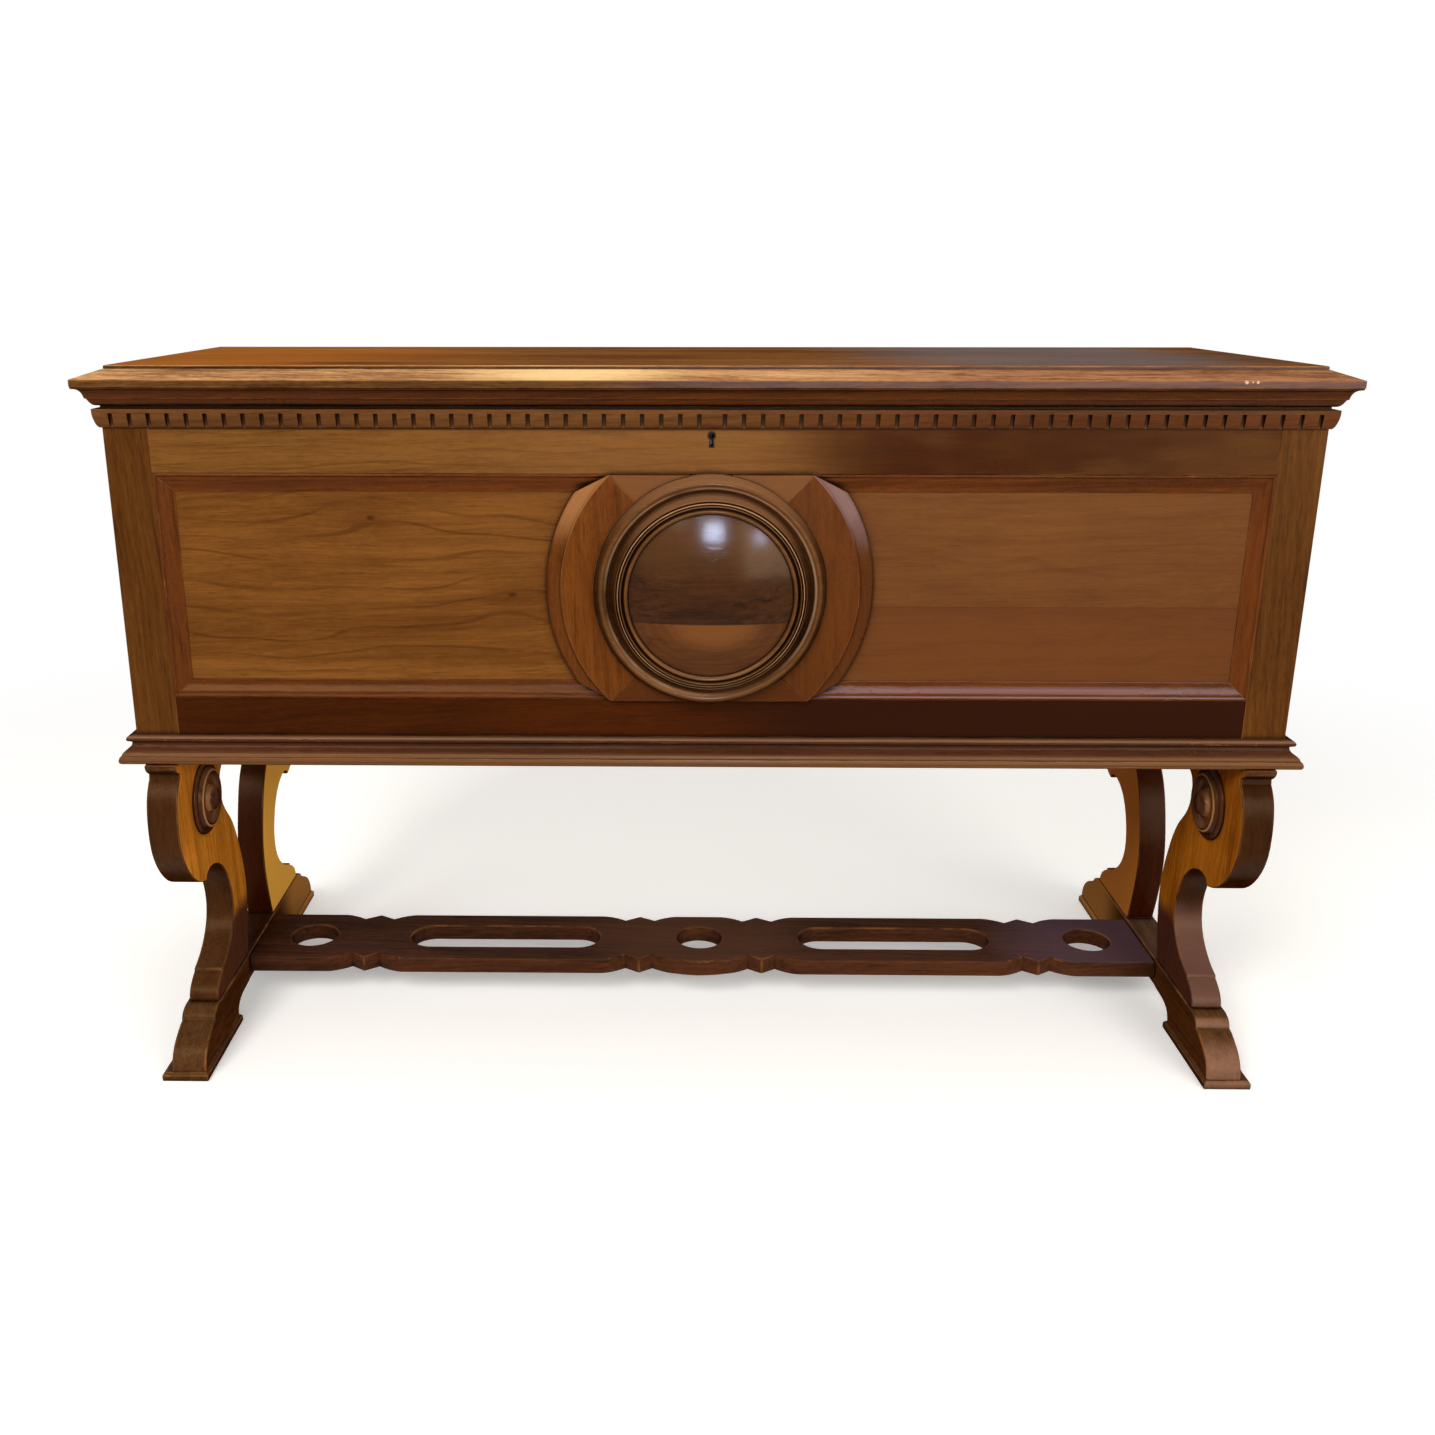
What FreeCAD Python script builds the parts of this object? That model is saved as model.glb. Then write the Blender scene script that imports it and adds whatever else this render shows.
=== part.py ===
import FreeCAD, Part
import math
import os

# Cassone: a long chest with a hinged lid, standing on two scrolled trestle ends.
# Millimetres, +Z up. The origin is on the floor, under the middle of the overall box.
# The front of the chest faces -Y and its length lies along X.

V = FreeCAD.Vector
X_DIRECTION = V(1, 0, 0)
Y_DIRECTION = V(0, 1, 0)
Z_DIRECTION = V(0, 0, 1)
HALF = 0.5
FULL_TURN = 360.0
cut_overrun = 5.0

# Heights, stacked from the floor
pad_thickness = 12.0
foot_height = 64.0
leg_height = 378.0
base_height = 35.0
case_height = 417.0
seat_clearance = 0.3
cornice_height = 22.7

# Plan sizes
case_width = 1472.0
case_depth = 520.0
boss_projection = 60.0
foot_overhang = 35.0

# Carcass
board_thickness = 24.0
stile_width = 55.0
top_rail_height = 81.0
bottom_rail_height = 51.0
panel_thickness = 12.0
panel_recess = 7.0
panel_tongue = 8.0
groove_clearance = 0.2
back_thickness = 22.0
back_stile_width = 60.0
back_rail_height = 70.0
back_muntin_width = 80.0
bottom_thickness = 16.0
cleat_width = 60.0
cleat_height = 19.0
cleat_inset = 286.0
cleats = 3

# Mouldings
frame_moulding_width = 22.5
frame_moulding_height = 8.5
dentil_band_height = 22.5
dentil_band_projection = 8.0
dentil_band_drop = 3.5
dentil_fillet = 5.0
dentil_slot_width = 5.4
dentil_slot_depth = 5.5
dentil_pitch = 22.8
centre_dentil_width = 25.0
base_projection = 19.5
base_ledge = 45.0
cornice_projection = 24.0
cornice_ledge = 45.0

# Centre ornament of the front
centre_board_width = 260.0
ring_radius = 143.5
ring_bore = 100.5
ring_rise = 47.0
ring_clearance = 0.15
boss_edge_rise = 43.0
wing_tip_offset = 123.5
wing_face_sagitta = 61.0
wing_slope_width = 18.5
wing_edge_rise = 11.0
wing_face_taper_share = 0.09
wing_inner_offset = 60.0
corner_block_end = 26.0
ornament_clearance = 0.2

# Lid
slab_overhang = 24.0
slab_nose = 3.0
slab_edge = 9.0
bevel_width = 31.0
bevel_rise = 11.0
field_step = 4.0
hinge_border_width = 65.0
hinge_border_drop = 6.0
lid_batten_width = 60.0
lid_batten_height = 20.0
lid_batten_inset = 326.0

# Hinges
hinge_inset = 286.0
hinge_length = 60.0
hinge_knuckles = 3
hinge_leaf_width = 30.0
hinge_leaf_thickness = 2.0
hinge_barrel_radius = 4.0
hinge_pin_radius = 2.0
hinge_pin_clearance = 0.05
hinge_knuckle_gap = 0.4
hinge_barrel_gap = 0.5
screw_head_radius = 3.4
screw_head_height = 1.8
screw_shank_radius = 1.8
screw_length = 14.0
screw_spacing = 36.0
screw_inset = 15.0

# Lock
keyhole_drop = 39.5
keyhole_eye_radius = 4.9
keyhole_length = 19.0
keyhole_foot_width = 6.6
escutcheon_wall = 1.3
escutcheon_depth = 6.0
escutcheon_proud = 0.4
lock_width = 84.0
lock_height = 66.0
lock_depth = 18.0
lock_wall = 2.0
bolt_length = 26.0
bolt_height = 7.0
bolt_depth = 5.0
bolt_rest_gap = 6.0
bolt_clearance = 0.3
guide_length = 26.0
guide_wall = 3.0
staple_thickness = 4.0
staple_width = 10.0
staple_drop = 20.0
staple_eye_clearance = 1.0
staple_slot_clearance = 1.5
strike_width = 44.0
strike_depth = 15.0
strike_thickness = 1.5
strike_inset = 2.0

# Trestle ends
leg_inset = 13.0
leg_thickness = 41.0
leg_depth = 243.0
volute_overhang = 32.0
foot_inset = 9.0
foot_thickness = 47.0
foot_toe_inset = 4.0
pad_inner_margin = 3.0
pad_width = 63.0
pad_length = 163.0
pad_bevel = 3.5
bearer_height = 50.0

# Turned rosettes on the volutes
rosette_radius = 50.0
rosette_height = 19.5

# Stretcher
stretcher_thickness = 25.0
stretcher_drop = 3.0
stretcher_width = 146.0
stretcher_notch = 16.0
stretcher_bulge = 5.0
stretcher_hole_radius = 35.0
stretcher_edge_round = 4.0
inner_knob_offset = 92.5
outer_knob_inset = 172.5
end_hole_inset = 82.0
slot_margin = 61.0
knob_half_width = 20.5
knob_tip_drop = 2.0
shoulder_run = 36.0

# Places worked out from the sizes
foot_top = pad_thickness + foot_height
base_bottom = foot_top + leg_height
case_bottom = base_bottom + base_height
case_top = case_bottom + case_height
lid_bottom = case_top + seat_clearance
slab_bottom = lid_bottom + cornice_height
lid_thickness = slab_edge + bevel_rise + field_step
lid_top = slab_bottom + lid_thickness
half_width = case_width * HALF
case_front = (boss_projection - case_depth - foot_overhang) * HALF
case_back = case_front + case_depth
case_middle = case_front + case_depth * HALF
panel_face = case_front + panel_recess
rail_low = case_bottom + bottom_rail_height
rail_high = case_top - top_rail_height
opening_half = half_width - stile_width
opening_half_height = (rail_high - rail_low) * HALF
ornament_z = (rail_low + rail_high) * HALF
slab_half = half_width + slab_overhang
slab_front = case_front - slab_overhang - slab_nose
hinge_offset = half_width - hinge_inset
hinge_y = case_back + hinge_barrel_gap + hinge_barrel_radius
hinge_z = case_top + seat_clearance * HALF
lock_back = case_front + board_thickness + lock_depth
lock_top = lid_bottom - strike_thickness - seat_clearance
keyhole_z = case_top - keyhole_drop
staple_y = case_front + board_thickness + lock_depth * HALF
bolt_z = lock_top - lock_wall - staple_drop * HALF
volute_front = case_front - volute_overhang
leg_inner_offset = half_width - leg_inset - leg_thickness
foot_inner_offset = half_width - foot_inset - foot_thickness
pad_inner_offset = foot_inner_offset - pad_inner_margin
stretcher_low = foot_top - stretcher_drop - stretcher_thickness
outer_knob_offset = foot_inner_offset - outer_knob_inset
end_hole_offset = foot_inner_offset - end_hole_inset
slot_start = inner_knob_offset + slot_margin
slot_end = outer_knob_offset - slot_margin


# Building blocks

def box(x0, x1, y0, y1, z0, z1):
    return Part.makeBox(x1 - x0, y1 - y0, z1 - z0, V(x0, y0, z0))


def on_x(x):
    return lambda y, z: V(x, y, z)


def on_y(y):
    return lambda x, z: V(x, y, z)


def on_z(z):
    return lambda x, y: V(x, y, z)


def outline(start, steps, place):
    """A closed wire. A step of one point is straight, one of two or more is a smooth curve through them."""
    edges = []
    here = start
    for step in steps + [(start,)]:
        points = [place(*here)] + [place(*point) for point in step]
        if len(points) == 2:
            if points[0].distanceToPoint(points[1]) > 0:
                edges.append(Part.LineSegment(points[0], points[1]).toShape())
        else:
            curve = Part.BSplineCurve()
            curve.interpolate(points)
            edges.append(curve.toShape())
        here = step[-1]
    return Part.Wire(edges)


def prism(start, steps, place, sweep):
    return Part.Face(outline(start, steps, place)).extrude(sweep)


def polygon_prism(corners, place, sweep):
    return prism(corners[0], [(corner,) for corner in corners[1:]], place, sweep)


def turned(start, steps, place, centre, axis):
    face = Part.Face(outline(start, steps, place))
    return face.revolve(centre, axis, FULL_TURN)


def across(shape):
    """The same piece on the other side of the chest's middle."""
    return shape.mirror(V(0, 0, 0), X_DIRECTION)


def behind(shape):
    """The same piece on the other side of the case's middle, front to back."""
    return shape.mirror(V(0, case_middle, 0), Y_DIRECTION)


def group(shapes):
    return Part.makeCompound(shapes)


def scaled(shares, out_size, up_size):
    """Profile steps given as shares of a moulding's projection and height."""
    return [tuple((out * out_size, up * up_size) for out, up in step) for step in shares]


def shifted(steps, dz):
    return [tuple((out, up + dz) for out, up in step) for step in steps]


# Mouldings that run round the case. A profile has out, away from the case, and up.

def front_run(start, steps, ledge, reach):
    place = lambda out, z: V(-half_width - reach, case_front - out, z)
    strip = prism(start, steps, place, V(case_width + 2 * reach, 0, 0))
    corners = [
        (-half_width - reach, case_front - reach),
        (half_width + reach, case_front - reach),
        (half_width - ledge, case_front + ledge),
        (-half_width + ledge, case_front + ledge),
    ]
    return strip.common(polygon_prism(corners, on_z(0), V(0, 0, lid_top)))


def left_run(start, steps, ledge, reach):
    place = lambda out, z: V(-half_width - out, case_front - reach, z)
    strip = prism(start, steps, place, V(0, case_depth + reach, 0))
    corners = [
        (-half_width - reach, case_front - reach),
        (-half_width + ledge, case_front + ledge),
        (-half_width + ledge, case_back),
        (-half_width - reach, case_back),
    ]
    return strip.common(polygon_prism(corners, on_z(0), V(0, 0, lid_top)))


# Base moulding: a bead above an ogee above a heavier bead, mitred at the front corners

base_profile_shares = [
    ((0.86, 0.0),),
    ((0.98, 0.06), (1.0, 0.16), (0.92, 0.28)),
    ((0.82, 0.30),),
    ((0.74, 0.42), (0.48, 0.52), (0.28, 0.66), (0.26, 0.76)),
    ((0.40, 0.80),),
    ((0.53, 0.86), (0.53, 0.94), (0.38, 1.0)),
]


def base_profile():
    steps = shifted(scaled(base_profile_shares, base_projection, base_height), base_bottom)
    return (-base_ledge, base_bottom), steps + [((-base_ledge, case_bottom),)]


def base_moulding_front():
    start, steps = base_profile()
    return front_run(start, steps, base_ledge, base_projection + cut_overrun)


def base_moulding_left():
    start, steps = base_profile()
    return left_run(start, steps, base_ledge, base_projection + cut_overrun)


def base_moulding_back():
    inner = half_width - base_ledge
    return box(-inner, inner, case_back - base_ledge, case_back, base_bottom, case_bottom)


# Cornice under the lid's edge: an ogee, a fillet and a cove, mitred at the front corners

cornice_profile_shares = [
    ((0.13, 0.0),),
    ((0.29, 0.08), (0.39, 0.22), (0.46, 0.36)),
    ((0.54, 0.40),),
    ((0.58, 0.58), (0.70, 0.80), (0.90, 0.90)),
    ((1.0, 0.92),),
    ((1.0, 1.0),),
]


def cornice_profile():
    steps = shifted(scaled(cornice_profile_shares, cornice_projection, cornice_height), lid_bottom)
    return (-cornice_ledge, lid_bottom), steps + [((-cornice_ledge, slab_bottom),)]


def lid_cornice_front():
    start, steps = cornice_profile()
    return front_run(start, steps, cornice_ledge, cornice_projection + cut_overrun)


def lid_cornice_left():
    start, steps = cornice_profile()
    return left_run(start, steps, cornice_ledge, cornice_projection + cut_overrun)


def lid_rail_back():
    inner = half_width - cornice_ledge
    rail = box(-inner, inner, case_back - cornice_ledge, case_back, lid_bottom, slab_bottom)
    return rail.cut(leaf_seats(lid_leaf_low)).cut(hinge_lid_screws())


# Dentil band: a fillet over a row of small blocks with slots between them

dentil_profile_shares = [
    ((0.25, 0.0),),
    ((0.45, 0.07), (0.72, 0.28), (0.92, 0.55), (1.0, 0.78)),
    ((1.0, 1.0),),
    ((0.0, 1.0),),
]


def dentil_section():
    low = case_top - dentil_band_drop - dentil_band_height
    return (0, low), shifted(scaled(dentil_profile_shares, dentil_band_projection, dentil_band_height), low)


def slot_places(length):
    """Slot centres to each side of the wider middle dentil, as far as a band of this length has room."""
    first = (centre_dentil_width + dentil_slot_width) * HALF
    count = int((length * HALF - first - dentil_slot_width) / dentil_pitch) + 1
    return [side * (first + i * dentil_pitch) for side in (-1, 1) for i in range(count)]


def dentil_band_front():
    start, steps = dentil_section()
    band = front_run(start, steps, 0, dentil_band_projection + cut_overrun)
    low = case_top - dentil_band_drop - dentil_band_height
    high = case_top - dentil_band_drop - dentil_fillet
    y0 = case_front - dentil_band_projection
    half = dentil_slot_width * HALF
    slots = [
        box(x - half, x + half, y0 - cut_overrun, y0 + dentil_slot_depth, low - cut_overrun, high)
        for x in slot_places(case_width)
    ]
    return band.cut(group(slots))


def dentil_band_left():
    start, steps = dentil_section()
    band = left_run(start, steps, 0, dentil_band_projection + cut_overrun)
    low = case_top - dentil_band_drop - dentil_band_height
    high = case_top - dentil_band_drop - dentil_fillet
    x0 = -half_width - dentil_band_projection
    half = dentil_slot_width * HALF
    slots = [
        box(x0 - cut_overrun, x0 + dentil_slot_depth, case_middle + s - half, case_middle + s + half,
            low - cut_overrun, high)
        for s in slot_places(case_depth)
    ]
    return band.cut(group(slots))


# Keyhole: a round eye with a slot that widens downwards

def keyhole(grow, y0, y1):
    radius = keyhole_eye_radius - escutcheon_wall + grow
    eye_z = keyhole_z + keyhole_length * HALF - keyhole_eye_radius
    low = keyhole_z - keyhole_length * HALF + escutcheon_wall - grow
    half_foot = keyhole_foot_width * HALF - escutcheon_wall + grow
    eye = Part.makeCylinder(radius, y1 - y0, V(0, y0, eye_z), Y_DIRECTION)
    corners = [
        (-half_foot, low),
        (half_foot, low),
        (half_foot * HALF, eye_z),
        (-half_foot * HALF, eye_z),
    ]
    return eye.fuse(polygon_prism(corners, on_y(y0), V(0, y1 - y0, 0))).removeSplitter()


def keyhole_escutcheon():
    front = case_front - escutcheon_proud
    back = case_front + escutcheon_depth
    rim = keyhole(escutcheon_wall, front, back)
    return rim.cut(keyhole(0, front - cut_overrun, back + cut_overrun))


# Front of the case: two stiles, two rails, a centre board and two panels in grooves

def panel_block(clearance):
    """The space that one front panel fills, on the left, grown by a clearance at its edges."""
    return box(
        -opening_half - panel_tongue - clearance, -centre_board_width * HALF,
        panel_face, panel_face + panel_thickness,
        rail_low - panel_tongue - clearance, rail_high + panel_tongue + clearance,
    )


def front_panel_left():
    return panel_block(0)


def front_stile_left():
    stile = box(-half_width, -opening_half, case_front, case_front + board_thickness, case_bottom, case_top)
    return stile.cut(panel_block(groove_clearance))


def front_rail_top():
    rail = box(-opening_half, opening_half, case_front, case_front + board_thickness, rail_high, case_top)
    left = panel_block(groove_clearance)
    rail = rail.cut(group([left, across(left)]))
    seat = keyhole(escutcheon_wall, case_front - cut_overrun, case_front + escutcheon_depth)
    way = keyhole(0, case_front, case_front + board_thickness + cut_overrun)
    return rail.cut(seat).cut(way)


def front_rail_bottom():
    rail = box(-opening_half, opening_half, case_front, case_front + board_thickness, case_bottom, rail_low)
    left = panel_block(groove_clearance)
    return rail.cut(group([left, across(left)]))


def centre_board():
    half = centre_board_width * HALF
    return box(-half, half, panel_face, case_front + board_thickness, rail_low, rail_high)


# Centre ornament: a turned ring round a low boss, between two crescent wings and four corner blocks

wing_face_radius = (opening_half_height ** 2 + wing_face_sagitta ** 2) / (2 * wing_face_sagitta)
wing_centre_x = wing_face_radius - wing_tip_offset - wing_face_sagitta
wing_foot_radius = wing_face_radius + wing_slope_width
wing_mitre_height = opening_half_height - frame_moulding_width
wing_mitre_offset = math.sqrt(wing_foot_radius ** 2 - wing_mitre_height ** 2) - wing_centre_x
wing_slope_shares = [
    ((0.0, 0.22),),
    ((0.16, 0.40), (0.42, 0.53), (0.72, 0.68), (0.90, 0.80)),
    ((0.93, 0.90),),
    ((1.0, 1.0),),
]


def ring_space(clearance):
    y0 = case_front - boss_projection
    return Part.makeCylinder(ring_radius + clearance, panel_face - y0, V(0, y0, ornament_z), Y_DIRECTION)


def wing_plan():
    """The wing's outline from the front: mitred to the panel mouldings outside and to the corner blocks inside."""
    tip = opening_half_height - ornament_clearance
    tip_x = -wing_tip_offset
    far_x = -wing_foot_radius
    fall = (tip - wing_mitre_height) / (wing_mitre_offset - wing_tip_offset)
    far = tip - (tip_x - far_x) * fall
    inner = tip - (wing_tip_offset - wing_inner_offset)
    corners = [(tip_x, tip), (far_x, far), (far_x, -far), (tip_x, -tip), (-wing_inner_offset, -inner),
               (-wing_inner_offset, inner)]
    place = lambda x, z: V(x, case_front - boss_projection, ornament_z + z)
    return polygon_prism(corners, place, V(0, boss_projection + panel_recess, 0))


def wing_left():
    rise = panel_recess + wing_edge_rise
    place = lambda r, up: V(wing_centre_x - r, panel_face - up, ornament_z)
    slope = scaled(wing_slope_shares, -wing_slope_width, rise)
    steps = [tuple((wing_foot_radius + out, up) for out, up in step) for step in slope]
    steps += [((0, rise + wing_face_radius * wing_face_taper_share),), ((0, 0),)]
    disc = turned((wing_foot_radius, 0), steps, place, V(wing_centre_x, 0, ornament_z), Y_DIRECTION)
    return disc.common(wing_plan()).cut(ring_space(ornament_clearance))


def corner_block():
    """The top left one: a tilted facet between the wing's mitre, the rail and the ring."""
    top = opening_half_height - ornament_clearance
    tip = wing_tip_offset - ornament_clearance - ornament_clearance
    inner = top - (tip - wing_inner_offset)
    corners = [(-tip, top), (-corner_block_end, top), (-corner_block_end, inner), (-wing_inner_offset, inner)]
    rise = V(0, boss_projection + panel_recess, 0)
    place = lambda x, z: V(x, case_front - boss_projection, ornament_z + z)
    plan = polygon_prism(corners, place, rise)
    facet_rise = wing_edge_rise + math.hypot(top - inner, top - inner) * wing_face_taper_share
    section = [
        (panel_face, ornament_z + top),
        (case_front - wing_edge_rise, ornament_z + top),
        (case_front - facet_rise, ornament_z + inner),
        (panel_face, ornament_z + inner),
    ]
    wedge = polygon_prism(section, on_x(-wing_tip_offset), V(wing_tip_offset, 0, 0))
    return wedge.common(plan).cut(ring_space(ornament_clearance))


def corner_blocks():
    top_left = corner_block()
    low_left = top_left.mirror(V(0, 0, ornament_z), Z_DIRECTION)
    return group([top_left, low_left, across(top_left), across(low_left)])


ring_profile_shares = [
    ((1.0, 0.30),),
    ((0.97, 0.35), (0.93, 0.44), (0.88, 0.56), (0.79, 0.63), (0.68, 0.58), (0.60, 0.49)),
    ((0.54, 0.46),),
    ((0.47, 0.53), (0.42, 0.69), (0.40, 0.86)),
    ((0.365, 0.95), (0.33, 0.90)),
    ((0.29, 0.97), (0.255, 0.92)),
    ((0.22, 0.99), (0.18, 0.94)),
    ((0.16, 0.84),),
    ((0.14, 0.90), (0.09, 1.0), (0.03, 0.98), (0.0, 0.90)),
]


def ring_moulding():
    width = ring_radius - ring_bore
    place = lambda r, rise: V(ring_bore + r, case_front - rise, ornament_z)
    seat = opening_half_height - ornament_clearance - ring_bore
    steps = [((seat, 0),), ((width, 0),)] + scaled(ring_profile_shares, width, ring_rise)
    steps.append(((0, -panel_recess),))
    return turned((seat, -panel_recess), steps, place, V(0, 0, ornament_z), Y_DIRECTION)


def centre_boss():
    radius = ring_bore - ring_clearance
    place = lambda r, rise: V(r, case_front - rise, ornament_z)
    cap = boss_projection - boss_edge_rise
    sphere = (radius ** 2 + cap ** 2) / (2 * cap)
    middle = radius * HALF
    middle_rise = boss_projection - sphere + math.sqrt(sphere ** 2 - middle ** 2)
    arc = Part.Arc(place(radius, boss_edge_rise), place(middle, middle_rise), place(0, boss_projection))
    corners = [
        place(0, boss_projection), place(0, -panel_recess),
        place(radius, -panel_recess), place(radius, boss_edge_rise),
    ]
    lines = [Part.LineSegment(a, b).toShape() for a, b in zip(corners, corners[1:])]
    face = Part.Face(Part.Wire([arc.toShape()] + lines))
    return face.revolve(V(0, 0, ornament_z), Y_DIRECTION, FULL_TURN)


# Mouldings that frame a panel. A profile has inward, from the opening's edge, and up from the panel.

frame_profile_shares = [
    ((0.0, 0.86),),
    ((0.05, 0.99), (0.12, 0.99), (0.17, 0.84)),
    ((0.20, 0.76),),
    ((0.36, 0.72), (0.52, 0.46), (0.70, 0.22), (0.90, 0.15)),
    ((1.0, 0.10),),
    ((1.0, 0.0),),
]


def framing(a0, a1, z0, z1, place, far_run):
    """Mitred strips inside an opening from a0 to a1 along the case and z0 to z1 in height.

    The upper and lower strips end at a1 in a mitre that runs back by far_run; the last strip closes that end."""
    steps = scaled(frame_profile_shares, frame_moulding_width, frame_moulding_height)
    width = frame_moulding_width
    along = place(a1, z0, 0) - place(a0, z0, 0)
    up = place(a0, z1, 0) - place(a0, z0, 0)
    out = place(a0, z0, frame_moulding_height + cut_overrun) - place(a0, z0, 0)
    runs = [
        (lambda u, p: place(a0, z0 + u, p), along,
         [(a0, z0), (a1, z0), (a1 - far_run, z0 + width), (a0 + width, z0 + width)]),
        (lambda u, p: place(a0, z1 - u, p), along,
         [(a0, z1), (a1, z1), (a1 - far_run, z1 - width), (a0 + width, z1 - width)]),
        (lambda u, p: place(a0 + u, z0, p), up,
         [(a0, z0), (a0 + width, z0 + width), (a0 + width, z1 - width), (a0, z1)]),
        (lambda u, p: place(a1 - u, z0, p), up,
         [(a1, z0), (a1 - width, z0 + width), (a1 - width, z1 - width), (a1, z1)]),
    ]
    strips = []
    for profile_place, sweep, keep in runs:
        strip = prism((0, 0), steps, profile_place, sweep)
        strips.append(strip.common(polygon_prism(keep, lambda a, z: place(a, z, 0), out)))
    return strips


def panel_moulding_left():
    """Three strips: the wing's own slope closes the fourth side."""
    place = lambda a, z, p: V(a, panel_face - p, z)
    far_run = wing_mitre_offset - wing_tip_offset
    strips = framing(-opening_half, -wing_tip_offset - ornament_clearance, rail_low, rail_high, place, far_run)
    return group(strips[:3])


# Sides of the case: framed panels like the front's

side_opening_front = case_front + stile_width
side_opening_back = case_back - stile_width


def side_panel_block(clearance):
    return box(
        -half_width + panel_recess, -half_width + panel_recess + panel_thickness,
        side_opening_front - panel_tongue - clearance, side_opening_back + panel_tongue + clearance,
        rail_low - panel_tongue - clearance, rail_high + panel_tongue + clearance,
    )


def side_panel_left():
    return side_panel_block(0)


def side_frame_left():
    x0 = -half_width
    x1 = -half_width + board_thickness
    y0 = case_front + board_thickness
    pieces = [
        box(x0, x1, y0, side_opening_front, case_bottom, case_top),
        box(x0, x1, side_opening_back, case_back, case_bottom, case_top),
        box(x0, x1, side_opening_front, side_opening_back, rail_high, case_top),
        box(x0, x1, side_opening_front, side_opening_back, case_bottom, rail_low),
    ]
    groove = side_panel_block(groove_clearance)
    return group([piece.cut(groove) for piece in pieces])


def side_moulding_left():
    place = lambda a, z, p: V(-half_width + panel_recess - p, a, z)
    return group(framing(side_opening_front, side_opening_back, rail_low, rail_high, place, frame_moulding_width))


# Back of the case: a plain frame with two flat panels

back_half = half_width - board_thickness
back_face = case_back - back_thickness
back_panel_face = back_face + (back_thickness - panel_thickness) * HALF


def back_panel(clearance):
    inset = back_stile_width - panel_tongue - clearance
    inner = back_muntin_width * HALF - panel_tongue - clearance
    return box(
        -back_half + inset, -inner,
        back_panel_face, back_panel_face + panel_thickness,
        case_bottom + back_rail_height - panel_tongue - clearance,
        case_top - back_rail_height + panel_tongue + clearance,
    )


def back_frame():
    low = case_bottom + back_rail_height
    high = case_top - back_rail_height
    inner = back_half - back_stile_width
    muntin = back_muntin_width * HALF
    stile = box(-back_half, -inner, back_face, case_back, case_bottom, case_top)
    top_rail = box(-inner, inner, back_face, case_back, high, case_top)
    others = [
        stile, across(stile),
        box(-inner, inner, back_face, case_back, case_bottom, low),
        box(-muntin, muntin, back_face, case_back, low, high),
    ]
    left = back_panel(groove_clearance)
    grooves = group([left, across(left)])
    top_rail = top_rail.cut(grooves).cut(leaf_seats(case_leaf_low)).cut(hinge_case_screws())
    return group([top_rail] + [piece.cut(grooves) for piece in others])


def back_panels():
    left = back_panel(0)
    return group([left, across(left)])


# Bottom: a board on the ledge of the base moulding, with cleats under it

def bottom_board():
    return box(-back_half, back_half, case_front + board_thickness, back_face,
               case_bottom, case_bottom + bottom_thickness)


def bottom_cleats():
    y0 = case_front + base_ledge
    y1 = case_back - base_ledge
    outer = half_width - cleat_inset
    spacing = (outer + outer) / (cleats - 1)
    half = cleat_width * HALF
    return group([
        box(i * spacing - outer - half, i * spacing - outer + half, y0, y1, case_bottom - cleat_height, case_bottom)
        for i in range(cleats)
    ])


# Lid: one board with a raised field, sloping margins on three sides and a flat hinge border behind

def lid_board():
    board = box(-slab_half, slab_half, slab_front, case_back, slab_bottom, lid_top)
    low = slab_bottom + slab_edge
    high = low + bevel_rise
    sky = lid_top + cut_overrun

    def margin(place, sweep):
        corners = [(-cut_overrun, low), (0, low), (bevel_width, high), (bevel_width, sky), (-cut_overrun, sky)]
        return polygon_prism(corners, place, sweep)

    width = slab_half * 2
    depth = case_back - slab_front + cut_overrun
    left = margin(lambda a, z: V(-slab_half + a, slab_front - cut_overrun, z), V(0, depth + cut_overrun, 0))
    front = margin(lambda a, z: V(-slab_half, slab_front + a, z), V(width, 0, 0))
    border = box(-slab_half, slab_half, case_back - hinge_border_width, case_back + cut_overrun,
                 lid_top - hinge_border_drop, sky)
    return board.cut(left).cut(across(left)).cut(front).cut(border)


def lid_battens():
    y0 = case_front + cornice_ledge
    y1 = case_back - cornice_ledge
    outer = half_width - lid_batten_inset
    left = box(-outer, -outer + lid_batten_width, y0, y1, slab_bottom - lid_batten_height, slab_bottom)
    return group([left, across(left)])


# Hinges: two butt hinges at the back, with a pin through three knuckles each

def knuckle(x, length, radius):
    return Part.makeCylinder(radius, length, V(x, hinge_y, hinge_z), X_DIRECTION)


def hinge_leaf(x, low, outer_knuckles):
    """One leaf. The case's leaf has the outer two knuckles and the lid's leaf the middle one."""
    third = hinge_length / hinge_knuckles
    x0 = x - hinge_length * HALF
    y0 = case_back - hinge_leaf_width
    gap = hinge_knuckle_gap * HALF
    plate = box(x0, x0 + hinge_length, y0, case_back, low, low + hinge_leaf_thickness)
    last = hinge_knuckles - 1
    for i in range(0 if outer_knuckles else 1, hinge_knuckles, 2):
        a = x0 + i * third + (gap if i > 0 else 0)
        b = x0 + (i + 1) * third - (gap if i < last else 0)
        web = box(a, b, case_back - hinge_leaf_thickness, hinge_y, low, low + hinge_leaf_thickness)
        plate = plate.fuse(web).fuse(knuckle(a, b - a, hinge_barrel_radius))
    bore = knuckle(x0 - cut_overrun, hinge_length + 2 * cut_overrun, hinge_pin_radius + hinge_pin_clearance)
    return plate.cut(bore).removeSplitter()


case_leaf_low = case_top - hinge_leaf_thickness
lid_leaf_low = lid_bottom


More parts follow.
